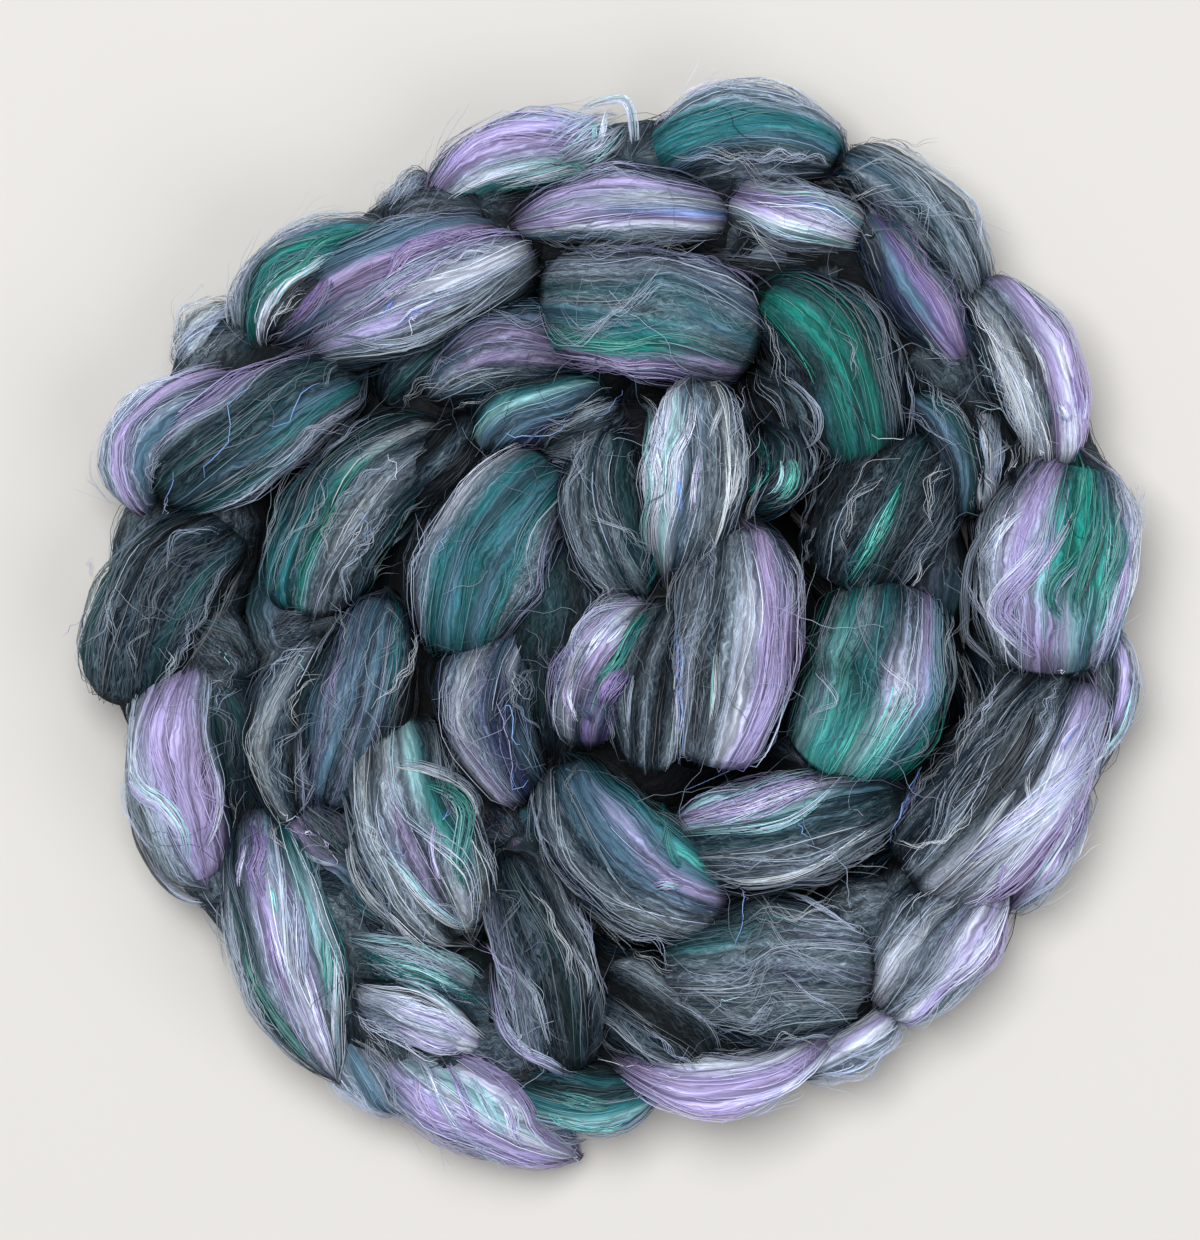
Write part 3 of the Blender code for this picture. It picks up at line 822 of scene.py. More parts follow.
def spin_fibres(name, groups, crimp_depth, crimp_length, finish):
    """Makes one piece of fibres from groups of lines."""
    mesh = bpy.data.meshes.new(name)
    edges, offset = [], 0
    for group in groups:
        fibres, each = group.points.shape[:2]
        place = np.arange(fibres * each).reshape(fibres, each) + offset
        edges.append(np.stack([place[:, :-1], place[:, 1:]], axis=-1).reshape(-1, 2))
        offset += fibres * each
    points = np.concatenate([group.points.reshape(-1, 3) for group in groups])
    mesh.from_pydata(points.tolist(), np.concatenate(edges).tolist(), [])
    labels = Lines._fields[1:]
    for label in labels:
        values = [
            np.broadcast_to(getattr(group, label), group.points.shape[:2]).ravel()
            for group in groups
        ]
        layer = mesh.attributes.new(label, "FLOAT", "POINT")
        layer.data.foreach_set("value", np.concatenate(values).astype(np.float32))
    guide = bpy.data.objects.new(f"{name}_lines", mesh)
    bpy.context.scene.collection.objects.link(guide)
    spin = guide.modifiers.new("spin", "NODES")
    spin.node_group = spinning
    inputs = {
        "Crimp depth": crimp_depth * MM,
        "Crimp length": crimp_length * MM,
        "Sides": FIBRE_SIDES,
        "Finish": finish,
    }
    for item in spinning.interface.items_tree:
        if item.in_out == "INPUT" and item.name in inputs:
            spin[item.identifier] = inputs[item.name]
    graph = bpy.context.evaluated_depsgraph_get()
    spun = bpy.data.meshes.new_from_object(guide.evaluated_get(graph))
    spun.name = name
    for label in (*labels, "end_to_end", "round_it"):
        if label in spun.attributes:
            spun.attributes.remove(spun.attributes[label])
    bpy.data.objects.remove(guide, do_unlink=True)
    return dress(bpy.data.objects.new(name, spun))


random = np.random.default_rng(71)


def dye_columns(letters):
    """The left edge of each letter's share of the dye map, for a row of points each."""
    order = {dye.letter: number for number, dye in enumerate(DYES)}
    numbers = np.vectorize(order.get)(letters).astype(float)
    return ((numbers + (1 - MAP_MARGIN) / 2) / len(DYES))[:, None]


def radii(girth, count):
    """The radii of fibres in metres, from their mean girth in millimetres and its spread."""
    return girth[0] / 2 * MM * random.lognormal(0, girth[1], (count, 1))


def tapered(steps, loss, turn):
    """How thick fibres are along them, by how much of it they lose at their ends and how late."""
    return 1 - loss * to_ends(steps, turn)


FIBRE_GIRTH = (0.15, 0.3)  # millimetres across, on average, and its spread
FIBRE_TAPER = (0.7, 5)
FIBRE_POINTS = 8
FIBRES_PER_MM = 2.85  # side by side, round a fold's middle
UNDER_FIBRES_PER_MM = 0.36
FIBRE_REACH = (0.12, 0.36)  # how far it runs to each side of its middle, over the fold's length
MIDDLES = (0.1, 0.9)  # where on the fold its middle lies
TOP_LANES = (-35.0, 215.0)  # degrees round a fold, from under its left side to under its right
UNDER_LANES = (165.0, 375.0)
RIM_LANES = (200.0, 430.0)  # up the outer side of the underside's outer turn
CRIMP_DEPTH = 0.38  # how far a wool fibre's waves stray to each side, in millimetres
CRIMP_LENGTH = 7.5
FEWEST_LOCKS = 5  # on a fold
FEWEST_FIBRES = 10
LOCK_WIDTH = 2.6
LOCK_PLACES = (0.05, 0.95)  # where it lies in its own share of the way round the fold
LOCK_HEIGHTS = (-0.5, 0.6)  # over the fold's surface
LOCK_BEND = 4.5  # how far a lock waves round its fold, in degrees
LOCK_WAVES = (0.5, 1.5)  # how often it does so
LOCK_SHADE = 0.11  # how much its shade differs from the others'
MEAN_SHADE = 0.52
FIBRE_BEND = 2.6
FIBRE_WAVES = 1.2
FIBRE_HEIGHTS = (-0.25, 0.35)
FIBRE_TUCK = 1.2  # how deep a fibre's ends slip into the roving
COMBED_WAVES = 0.8  # how much the waves of combed fibres differ from each other's
LOCK_DYE_SHARE = 0.25  # of its fibres have their lock's dye where the streaks' dye changes
LOCK_DYE_REACH = 0.3  # as far from its middle as this, over the fold's length
# How far from its own place a lock or a fibre has its dye, across the fold and along it.
LOCK_DYE_STRAY = 0.012
FIBRE_DYE_STRAY = 0.02
FIBRE_DYE_STRAY_ALONG = 0.1
STRAY_SHARE = 0.018  # of the fibres have strayed from other parts of the roving
STRAY_DYES = "bskmw"
# How each kind of fibre lies: how high its locks stand and how far they bend, how wide they spread,
# how much its fibres' shades differ, and how crimped it is.
Lie = namedtuple("Lie", "height bend spread shade crimp")
LIE_OF = {"wool": Lie(1.2, 1.3, 0.30, 0.07, 1.0), "silk": Lie(0.7, 0.7, 0.55, 0.04, 0.35)}


def lies_of(letters):
    return Lie(*np.array([LIE_OF[DYE_OF[letter].fibre] for letter in letters]).T)


def combed_fibres(fold, lanes, per_mm):
    """The lines of a fold's combed fibres."""
    low, high = np.radians(lanes)
    arc = (high - low) * fold.width / 2
    locks = max(FEWEST_LOCKS, round(arc / LOCK_WIDTH))
    count = max(FEWEST_FIBRES, round(arc * per_mm))
    lock_place = np.arange(locks) + random.uniform(*LOCK_PLACES, locks)
    lock_lane = low + (high - low) * lock_place / locks
    lock_middle = random.uniform(*MIDDLES, locks)
    lock_share = across(lock_lane) + random.normal(0, LOCK_DYE_STRAY, locks)
    lock_letter = letters_at(fold, lock_share, lock_middle)
    lie = lies_of(lock_letter)
    lock_height = random.uniform(*LOCK_HEIGHTS, locks) * lie.height
    lock_bend = np.radians(random.normal(0, LOCK_BEND, locks)) * lie.bend
    lock_wave = random.uniform(*LOCK_WAVES, locks)
    lock_phase = random.random(locks)
    lock_shade = random.normal(0, LOCK_SHADE, locks)

    lock = random.integers(0, locks, count)
    spread = LOCK_WIDTH / (fold.width / 2) * lie.spread[lock]
    lane = (lock_lane[lock] + random.normal(0, 1, count) * spread)[:, None]
    middle = random.uniform(*MIDDLES, (count, 1))
    reach = random.uniform(*FIBRE_REACH, (count, 1))
    steps = np.linspace(0, 1, FIBRE_POINTS)[None, :]
    along = (middle + reach * (2 * steps - 1)).clip(0, 1)
    waves = np.sin(2 * np.pi * (along * lock_wave[lock][:, None] + lock_phase[lock][:, None]))
    own_waves = np.sin(2 * np.pi * (along * FIBRE_WAVES + random.random((count, 1))))
    own_bend = np.radians(random.normal(0, FIBRE_BEND, (count, 1)))
    turned = lane + drift(fold, along, lane)
    turned = turned + lock_bend[lock][:, None] * waves + own_bend * own_waves
    height = lock_height[lock][:, None] + random.uniform(*FIBRE_HEIGHTS, (count, 1))
    points = fold_surface(fold, along, turned, (height - FIBRE_TUCK * to_ends(steps, 4)) * MM)

    own_share = across(lane[:, 0]) + random.normal(0, FIBRE_DYE_STRAY, count)
    own_place = middle[:, 0] + random.normal(0, FIBRE_DYE_STRAY_ALONG, count)
    near_lock = random.random(count) < LOCK_DYE_SHARE
    near_lock = near_lock & (np.abs(middle[:, 0] - lock_middle[lock]) < LOCK_DYE_REACH)
    letters = np.where(near_lock, lock_letter[lock], letters_at(fold, own_share, own_place))
    stray_dye = random.random(count) < STRAY_SHARE
    letters = np.where(stray_dye, random.choice(list(STRAY_DYES), count), letters)
    own_shade = random.normal(0, 1, count) * lie.shade[lock]
    shade = (MEAN_SHADE + lock_shade[lock] + own_shade)[:, None]
    return Lines(
        points,
        radii(FIBRE_GIRTH, count) * tapered(steps, *FIBRE_TAPER),
        # Painted light and shade from the folds round it, on each fibre's own tone.
        (shade * light_on(fold, points, along, turned)).clip(*MAP_SHADES),
        dye_columns(letters),
        lies_of(letters).crimp[:, None],
        random.uniform(0, COMBED_WAVES, (count, 1)),
    )


spinning = spinning_tree()
# Combed wool and silk: smooth and soft, with a low gloss along it.
soft_fibre = fibre_material("combed_wool_and_silk_fibre", 0.45, 0.3)
for turn_name, folds in TURNS.items():
    groups = []
    for fold in folds:
        if turn_name != "underside":
            groups.append(combed_fibres(fold, TOP_LANES, FIBRES_PER_MM))
        else:
            lanes = RIM_LANES if on_outer_turn(fold) else UNDER_LANES
            groups.append(combed_fibres(fold, lanes, UNDER_FIBRES_PER_MM))
    spin_fibres(f"{turn_name}_combed_fibres", groups, CRIMP_DEPTH, CRIMP_LENGTH, soft_fibre)


# --- The crinkled fibres -----------------------------------------------------------------------
# Fine wool that the combing left crinkled: pale wisps, each of a few fibres that wave together,
# over the folds' dark wool, with flyaway ends that stand off the coil.

WISP_GIRTH = (0.095, 0.25)
WISP_TAPER = (0.6, 3)
WISP_POINTS = 14
WISPS_PER_MM = 0.46
WISP_FIBRES = 6
WISP_WIDTH = 1.1
WISP_END_WIDTH = 0.4  # how wide it is at its ends, over its middle
WISP_LENGTHS = (7.0, 18.0)
WISP_STAGGER = 2.0  # how far one of its fibres begins before another
WISP_WAVES = (5.0, 9.5)  # millimetres from wave to wave
WISP_WAVE_DEPTH = 0.6
WISP_PHASES = 0.1  # the share of a wave by which its fibres lie out of step
WISP_ROOM = 0.49  # how near to a fold's ends it comes, from the middle at 0 to the end at 0.5
WISP_CRIMP_DEPTH = 0.3
WISP_CRIMP_LENGTH = 4.2
WISP_BEARING = 0.26  # how far its wisps turn across a fold, in radians
WISP_CURVE = 0.7  # and how far each bends
STEEPEST_WISP = 1.2
WISPS_KEPT = {"x": 0.15, "k": 0.7, "silk": 0.3, "wool": 1.0}  # the share of them on each dye
WISP_SHADE = (0.47, 0.09)  # on average, and its spread
WISP_FIBRE_SHADE = 0.05  # how much a wisp's fibres differ
WISP_HEIGHTS = (0.0, 0.7)
WISP_LAYERS = 0.4  # how much higher its highest fibre lies than its lowest
FLYAWAY_SHARE = 0.3
FLYAWAY_REACH = (1.0, 5.0)
FLYAWAY_GIRTH = 0.75  # over the others'
SPAN_OVER_CHORD = 1.15  # a fold's length over the distance between its ends
FREE_CRIMPS = (0.6, 1.3)  # how crimped fibres are that are free to curl, over combed wool
FREE_WAVES = 3.0
# The dyes of the wisps over each kind of dye: wool has lighter fibres blended in.
WISP_DYES = {"xky": "bbbssck", "b": "bbssc", "wsc": "wsscb", "mvlpi": "vlsmb", "gteanuz": "sbubt"}


def free_crimps(count):
    """The crimps and the waves of fibres that are free to curl."""
    return random.uniform(*FREE_CRIMPS, (count, 1)), random.uniform(0, FREE_WAVES, (count, 1))


def crinkled_fibres(fold):
    """The lines of a fold's wisps."""
    low, high = np.radians(TOP_LANES)
    wisps = round((high - low) * fold.width / 2 * WISPS_PER_MM)
    lane = random.uniform(low, high, wisps)
    middle = random.uniform(*MIDDLES, wisps)
    local = letters_at(fold, across(lane), middle)
    share = [WISPS_KEPT.get(letter, WISPS_KEPT[DYE_OF[letter].fibre]) for letter in local]
    kept = random.random(wisps) < np.array(share)
    lane, middle, local = lane[kept], middle[kept], local[kept]
    wisps = kept.sum()
    count = wisps * WISP_FIBRES

    def by_wisp(values):
        return values.repeat(WISP_FIBRES)[:, None]

    def each_wisp(low, high):
        return by_wisp(random.uniform(low, high, wisps))

    steps = np.linspace(0, 1, WISP_POINTS)[None, :]
    span = np.linalg.norm(np.subtract(fold.end, fold.start)) * SPAN_OVER_CHORD
    bearing = by_wisp(random.normal(0, WISP_BEARING, wisps))
    bearing = bearing + by_wisp(random.normal(0, WISP_CURVE, wisps)) * (steps - 0.5)
    bearing = (bearing * fold.tangle).clip(-STEEPEST_WISP, STEEPEST_WISP)
    ahead = (steps - 0.5) * each_wisp(*WISP_LENGTHS)
    ahead = ahead + random.normal(0, WISP_STAGGER, (count, 1))
    phase = each_wisp(0, 1) + random.normal(0, WISP_PHASES, (count, 1))
    wave = np.sin(2 * np.pi * (ahead / each_wisp(*WISP_WAVES) + phase))
    spindle = WISP_END_WIDTH + (1 - WISP_END_WIDTH) * np.sin(np.pi * steps)
    spread = random.normal(0, WISP_WIDTH / 2, (count, 1)) * spindle
    aside = np.sin(bearing) * ahead + WISP_WAVE_DEPTH * wave + spread
    along = by_wisp(middle) + ahead / span
    along = 0.5 + WISP_ROOM * np.tanh(2 * (along - 0.5))
    lane = by_wisp(lane)
    turned = lane + drift(fold, along, lane) + aside / (fold.width / 2)
    flyaway = random.random((count, 1)) < FLYAWAY_SHARE
    reach = np.where(flyaway, random.uniform(*FLYAWAY_REACH, (count, 1)), 0)
    lift = each_wisp(*WISP_HEIGHTS) + random.uniform(0, WISP_LAYERS, (count, 1))
    points = fold_surface(fold, along, turned, (lift + reach * steps**2) * MM)

    near = {letter: dyes for letters, dyes in WISP_DYES.items() for letter in letters}
    paler = np.array([random.choice(list(near[letter])) for letter in local])
    shade = by_wisp(random.normal(*WISP_SHADE, wisps))
    shade = shade + random.normal(0, WISP_FIBRE_SHADE, (count, 1))
    girth = radii(WISP_GIRTH, count) * np.where(flyaway, FLYAWAY_GIRTH, 1.0)
    return Lines(
        points,
        girth * tapered(steps, *WISP_TAPER),
        # Painted light and shade from the folds round it, on each wisp's own tone.
        (shade * light_on(fold, points, along, turned)).clip(*MAP_SHADES),
        dye_columns(paler.repeat(WISP_FIBRES)),
        *free_crimps(count),
    )


for turn_name, folds in TURNS.items():
    if turn_name != "underside":
        groups = [crinkled_fibres(fold) for fold in folds]
        name = f"{turn_name}_crinkled_fibres"
        spin_fibres(name, groups, WISP_CRIMP_DEPTH, WISP_CRIMP_LENGTH, soft_fibre)


# --- The laid locks ----------------------------------------------------------------------------
# Small locks of one clear dye that lie on the folds where the roving was turned, the stray loop at
# the top of the coil and the wisps of the roving's end, and dark locks over the gaps between the
# folds as painted shade.

# A lock in millimetres: its dyes from left to right, looking along it, how wide it is, the line
# that it follows in plan, and the height of its middle, or none where it rests on the folds.
Lock = namedtuple("Lock", "dyes width line height", defaults=[None])
LAID_LOCKS = [
    # Dark locks over the gaps between the folds: painted shade where the gaps lie in shadow, with
    # some grey and cream wool in them.
    Lock("kxbcbxk", 6.5, [(68, -3), (70, -9), (71.5, -15), (70, -21)]),
    Lock("xkxkx", 6, [(45, -50.5), (50, -48), (56, -44.5)]),
    Lock("kxkxk", 7, [(-7, -58.5), (-2.5, -61.5), (2, -63.5), (8, -65.5)]),
    Lock("kbkb", 5, [(42, 90.5), (46, 88.5), (49.5, 85.5)]),
    Lock("kxgkxk", 8, [(-64, -35.5), (-60, -39.5), (-56, -44), (-52.5, -48.5)]),
    Lock("xkxk", 6, [(-26.5, -36), (-22.5, -40), (-19, -44)]),
    Lock("kgxkgxk", 9, [(-85, 0), (-79.5, -4), (-74.5, -9)]),
    Lock("kxkgxk", 8, [(-70, -3), (-65, -1), (-60, 1)]),
    # The white wing's two white locks, and the cream and azure ones beside them.
    Lock("wwn", 3.2, [
        (4.5, 46), (7, 43), (7, 38.5), (6.5, 33.5), (7.5, 28.5), (7, 24), (6, 19.5), (6.5, 14.5), (9, 7.5)
    ]),
    Lock("wwwn", 3.2, [
        (15, 48.5), (14.5, 44), (13.5, 38.5), (11, 33.5), (10.5, 28.5), (10, 24), (10.5, 19.5), (11, 14.5)
    ]),
    Lock("zz", 0.8, [(12.5, 34), (12, 29), (12.5, 24), (12.5, 19)]),
    Lock("wlw", 1.2, [(17, 36), (15.5, 30.5), (15, 25.5), (14.5, 20)]),
    Lock("ccw", 1.6, [(23.5, 37.5), (24, 33.5), (23.5, 28.5), (22, 24), (20.5, 22)]),
    Lock("bcb", 1.2, [(21, 46), (20.5, 42.5), (19, 39), (17.5, 34.5)]),
    # The crescents at the crown's tip, and the emerald streak's lens.
    Lock("eaaet", 2.8, [(27, 39), (28.5, 36), (29, 32), (28, 28.5), (25, 25.5)]),
    Lock("nn", 0.7, [(31.5, 36), (32.5, 32), (32.5, 29), (31, 26.5), (28, 25)]),
    Lock("eaeat", 3, [(33, 34.5), (35, 31.5), (34.5, 28.5), (33, 26), (30, 24.5)]),
    Lock("bsb", 2, [(29, 51.5), (34.5, 48.5), (38.5, 44.5), (40, 41), (39.5, 37), (36, 34.5)]),
    Lock("gteaet", 4.5, [(57.5, 30), (54, 22), (49.5, 14), (45, 7)]),
    # The heart's curls, and the strands between the heart and the crown.
    Lock("slw", 1.5, [(8.5, 4), (1.5, 4), (-4, 3), (-8, -1), (-9, -5), (-8, -8.5)]),
    Lock("vl", 1.6, [(-2, 3), (-6, -1), (-7.5, -3.5)]),
    Lock("wwl", 2.3, [(0.5, 3), (-3.5, -1.5), (-6, -5), (-7.5, -8.5)]),
    Lock("ws", 1, [(2.5, 2), (-0.5, -2), (-3.5, -4.5)]),
    Lock("etee", 2.6, [(8, 3.5), (4.5, 1), (2, -3.5), (0, -7.5), (-3.5, -10.5), (-4.5, -12)]),
    Lock("pvpv", 4.5, [(2.5, -8), (0.5, -10.5), (-2, -14), (-3, -17)]),
    Lock("ii", 1.5, [(-8, -12.5), (-7, -16.5), (-5.5, -18), (-4, -21)]),
    Lock("wvl", 2, [(-8.5, -8.5), (-10, -13), (-9.5, -16.5), (-7, -21.5)]),
    Lock("wzlw", 1.7, [
        (11.5, 3), (12, -2), (12.5, -6.5), (12, -12.5), (12.5, -17), (12, -21.5), (12.5, -28.5)
    ]),
    # Painted shade: near black wool laid flat in the gap between the heart and the crown.
    Lock("xx", 2.2, [(16, 2), (16.2, -6), (16, -14), (15.6, -21), (15.2, -27)]),
    Lock("bcn", 1.8, [(19.5, -2), (19.5, -10.5), (19, -16.5), (18, -20.5)]),
    Lock("bsb", 1, [(4, -6.5), (2.5, -13.5), (2, -19), (1.5, -23.5)]),
    # The cream fold's crescents and its emerald zigzag with the pale edge.
    Lock("kccbck", 3.2, [
        (-52, -38), (-53.5, -43.5), (-52.5, -50), (-49.5, -55), (-45, -59), (-41, -63), (-37, -66),
        (-32, -67), (-27.5, -65.5)
    ]),
    Lock("snwc", 2.6, [
        (-48.5, -43.5), (-44.5, -47), (-42, -49.5), (-39.5, -53), (-35.5, -57), (-31, -60), (-26, -61)
    ]),
    Lock("etetn", 3.4, [
        (-41, -31), (-36, -32), (-32, -34), (-30, -37.5), (-30.5, -42), (-31.5, -47), (-31, -51),
        (-29.5, -55)
    ]),
    Lock("bcsc", 3, [(-48, -28), (-41, -27.5), (-34, -29.5), (-29.5, -32.5), (-27.5, -36.5), (-28.5, -40.5)]),
    Lock("lwl", 1.2, [(-38.5, -37), (-36.5, -39.5), (-37, -43), (-36.5, -47), (-35, -51), (-33.5, -53)]),
    # The lilac drop's white curls and its woolly outline.
    Lock("swnswls", 3.6, [
        (-97.5, -19), (-97.5, -25), (-97, -30.5), (-94.5, -33.5), (-91.5, -35), (-88.5, -38),
        (-86.5, -41.5), (-86, -46), (-86.5, -50)
    ]),
    Lock("lwlv", 2.6, [(-81.5, -26), (-80, -30.5), (-79.5, -35), (-80.5, -39.5), (-82, -43.5), (-83, -46)]),
    Lock("bsb", 2.5, [(-99, -19.5), (-99, -30.5), (-97, -42.5), (-92, -51.5), (-86.5, -55.5), (-80.5, -56)]),
    # The emerald drop's lilac curl, its emerald locks and its woolly outlines.
    Lock("vlllwl", 5, [
        (90, 29), (86.5, 23), (85, 16), (81.5, 11), (77, 6), (76, 2), (79, -1.5), (82.5, -5), (86, -6.5)
    ]),
    Lock("wlw", 1.6, [(92, 25.5), (90, 20.5), (85, 12.5), (80, 6.5), (78, 3), (78, 0), (81.5, -3)]),
    Lock("wsw", 2.4, [(83, 24.5), (77.5, 20.5), (74, 15), (72, 11)]),
    Lock("bsb", 1.8, [
        (73.5, 23), (74.5, 20.5), (71, 14.5), (70, 7.5), (70, 2), (70.5, -2.5), (75, -7), (77, -10.5)
    ]),
    Lock("stete", 3, [(94, 18), (91, 13), (87, 8.5), (86.5, 4), (90, 0)]),
    Lock("egeete", 4, [(96, 29), (96.5, 22.5), (95, 16), (92.5, 9), (91.5, 4), (94, -2)]),
    Lock("eteet", 3.4, [(98.5, 24), (101, 19), (100, 13), (97.5, 7.5), (96.5, 2.5), (95, -1)]),
    Lock("vlw", 2.4, [
        (96, 33), (100, 30.5), (103, 24), (103.5, 19), (102, 12.5), (100, 6.5), (99, 2), (96.5, -2.5),
        (92.5, -5)
    ]),
    # Painted shade: near black wool laid flat in a gap between the folds.
    Lock("xx", 2.4, [(77, 32.5), (78.5, 30), (79.5, 26)]),
    # The frost sweep's white locks, its near black ones, which are painted shade in its gaps, and the
    # violet strands at its rim.
    Lock("wwswlw", 5.5, [
        (99.5, -21), (95, -27), (88.5, -32.5), (82, -38), (77.5, -41.5), (72.5, -45.5), (68.5, -47.5)
    ]),
    Lock("bcs", 1.6, [(80.5, -31.5), (76.5, -36), (73, -41), (69.5, -45.5)]),
    Lock("bsb", 2.2, [(87.5, -12.5), (86.5, -19.5), (82.5, -25.5), (79.5, -30.5)]),
    # Painted shade: these near black locks lie flat in the gaps.
    Lock("xx", 3.2, [(85, -11), (82, -19.5), (79, -25), (74.5, -31), (69.5, -38), (65, -46.5)]),
    Lock("xkx", 2, [(89, -11), (89, -17), (86, -25), (82, -31), (78, -36.5), (74, -42.5)]),
    Lock("bkkbk", 4, [
        (81, -14), (78, -19.5), (72.5, -24), (68, -29.5), (65, -34.5), (64, -39.5), (61, -46), (57, -52)
    ]),
    Lock("mlz", 1.4, [(61, -27), (60, -31.5), (58, -36), (56.5, -39.5), (54.5, -44)]),
    Lock("zlw", 1.4, [(93.5, -19), (89.5, -22.5), (88, -27)]),
    Lock("sbn", 1.5, [(103.5, -6.5), (104, -12), (102, -21), (98, -26.5), (96, -32.5)]),
    Lock("pvl", 2.4, [(93.5, -33), (93.5, -38), (91.5, -42.5), (88, -48)]),
    Lock("wnw", 1.6, [(91, -34.5), (90.5, -40.5), (87, -46.5), (84, -51), (81, -56.5)]),
    Lock("vlv", 1.6, [(77.5, -46.5), (76.5, -51), (76, -56.5)]),
    # The ribbon fold's lilac band with its mint edges, and the cream strands below it.
    Lock("nvlvlwln", 6, [(11.5, -40), (18, -38), (25.5, -36), (32, -33), (38.5, -31), (42.5, -30.5)]),
    Lock("nsn", 1.8, [
        (10.5, -42), (19.5, -41), (27, -40.5), (33.5, -39), (38.5, -36), (42.5, -32.5), (46, -29)
    ]),
    Lock("te", 1, [(13, -35.5), (22.5, -34), (31, -30.5), (34.5, -29)]),
    Lock("cwcb", 2, [
        (16, -48), (22, -50.5), (26.5, -51.5), (33.5, -50.5), (40, -48), (46.5, -43.5), (54, -38)
    ]),
    Lock("bkb", 2, [(24.5, -51.5), (35.5, -51.5), (43.5, -51), (49.5, -46.5)]),
    Lock("tet", 2, [(9, -35), (10, -42), (11.5, -46.5), (13.5, -49)]),
    Lock("lsnl", 2.5, [(6.5, -52.5), (10, -51.5), (14, -52.5)]),
    # The green rim's bands, and the white locks of the sweeps beside it.
    Lock("bssm", 2.5, [(-77, 57.5), (-76.5, 65), (-74, 71), (-69, 76.5), (-60.5, 80), (-50, 80.5)]),
    Lock("etee", 2.8, [
        (-75, 59.5), (-73, 64.5), (-69, 68.5), (-63.5, 72), (-59.5, 76.5), (-54, 78.5), (-49, 79)
    ]),
    Lock("nwn", 1.6, [(-73, 60), (-69, 63), (-67.5, 66), (-65, 69), (-61.5, 71), (-58, 73.5), (-54.5, 74.5)]),
    # Painted shade: near black wool laid flat in a gap between the folds.
    Lock("xkx", 3.2, [(-72, 56), (-69, 59.5), (-65.5, 64), (-61.5, 68.5), (-55.5, 72)]),
    Lock("pvm", 3.4, [(-68, 56), (-60.5, 64), (-56.5, 70.5)]),
    Lock("pvp", 3.8, [(-48, 66), (-44.5, 70.5), (-41.5, 74.5), (-36, 76.5), (-27.5, 78.5)]),
    Lock("sslb", 4, [(-59, 58.5), (-51.5, 62.5), (-44.5, 67.5), (-38.5, 71), (-32, 74.5), (-25, 77.5)]),
    Lock("ww", 1.5, [(-54.5, 58.5), (-48, 65), (-45.5, 66), (-39.5, 68), (-35.5, 71)]),
    Lock("zl", 1, [(-47, 60.5), (-45.5, 63), (-43.5, 65)]),
    Lock("wz", 1, [(-45.5, 58.5), (-42.5, 60.5), (-40.5, 62.5), (-37, 64), (-33, 66)]),
    Lock("bsb", 2.4, [
        (-61.5, 57.5), (-54, 57), (-47, 55.5), (-41, 56), (-34, 59), (-27, 64), (-22, 69), (-19.5, 73.5)
    ]),
    # The cream bow's cream lens, the painted shade of the gap beside it, and its lilac side.
    Lock("bcsub", 3, [(71.5, 43.5), (72.5, 39), (73.5, 33), (74, 25)]),
    Lock("bcscwc", 4, [(74, 63), (75.5, 57), (77.5, 52), (80, 46.5), (82, 40.5), (82.5, 36), (82, 30.5)]),
    Lock("wzw", 2, [(76.5, 55.5), (78.5, 51), (81.5, 47), (83, 44)]),
    # Painted shade: near black wool laid flat in the gap.
    Lock("xx", 1.8, [(74.5, 64), (77, 62), (79.5, 58), (81.5, 54), (84, 49.5), (84.5, 47.5)]),
    Lock("kyk", 2, [(85, 47.5), (85.5, 43.5), (86.5, 38)]),
    Lock("sc", 1.2, [(79, 61), (82.5, 56.5), (85, 52), (86, 47.5), (87.5, 43.5)]),
    Lock("lwls", 3, [(88, 45.5), (89.5, 42.5), (90.5, 40)]),
    Lock("pvp", 1.2, [(89.5, 51.5), (91.5, 47.5), (92, 44), (92, 41)]),
    Lock("wlw", 1.4, [(94.5, 49), (94, 43.5), (92.5, 38.5)]),
    # The pointed leaf's strands, from its woolly edge to its white one.
    Lock("bsb", 1.2, [
        (-78, -49), (-78, -55), (-77, -64), (-74.5, -70.5), (-72.5, -76.5), (-68.5, -83.5), (-63.5, -89),
        (-56, -93)
    ]),
    Lock("gege", 2.4, [
        (-75.5, -58.5), (-74.5, -64.5), (-72.5, -71), (-69.5, -76.5), (-66.5, -81), (-63, -85.5), (-60, -89)
    ]),
    Lock("lwl", 1.1, [(-74, -42.5), (-74.5, -45.5), (-75.5, -50), (-75.5, -53.5)]),
    Lock("pvp", 2.8, [(-73, -37), (-72, -41), (-71, -45), (-72.5, -49), (-71, -53), (-70.5, -56.5)]),
    Lock("wlpl", 2, [(-70, -56.5), (-69.5, -60.5), (-68.5, -64.5), (-67.5, -68.5), (-66.5, -72.5)]),
    Lock("nan", 1.2, [(-69.5, -51), (-68.5, -54.5), (-68, -59)]),
    Lock("scs", 1.4, [
        (-72, -35.5), (-69, -39.5), (-68, -43.5), (-67, -49), (-66.5, -55), (-66, -62.5), (-65.5, -68.5),
        (-64, -75), (-61.5, -81.5), (-56, -91.5)
    ]),
    Lock("msmw", 3, [(-64.5, -51), (-63.5, -56.5), (-63, -64.5), (-62.5, -70.5), (-60.5, -76.5)]),
    Lock("wlw", 2, [(-63, -60.5), (-62.5, -66.5), (-61, -72.5), (-59.5, -78.5), (-57.5, -84.5), (-56, -90)]),
    Lock("enne", 1.8, [(-58, -60), (-58, -64.5), (-57.5, -70.5), (-57.5, -76.5)]),
    Lock("wnw", 1.5, [(-56, -60.5), (-56, -66.5), (-56, -72.5), (-56.5, -80.5), (-56, -87.5)]),
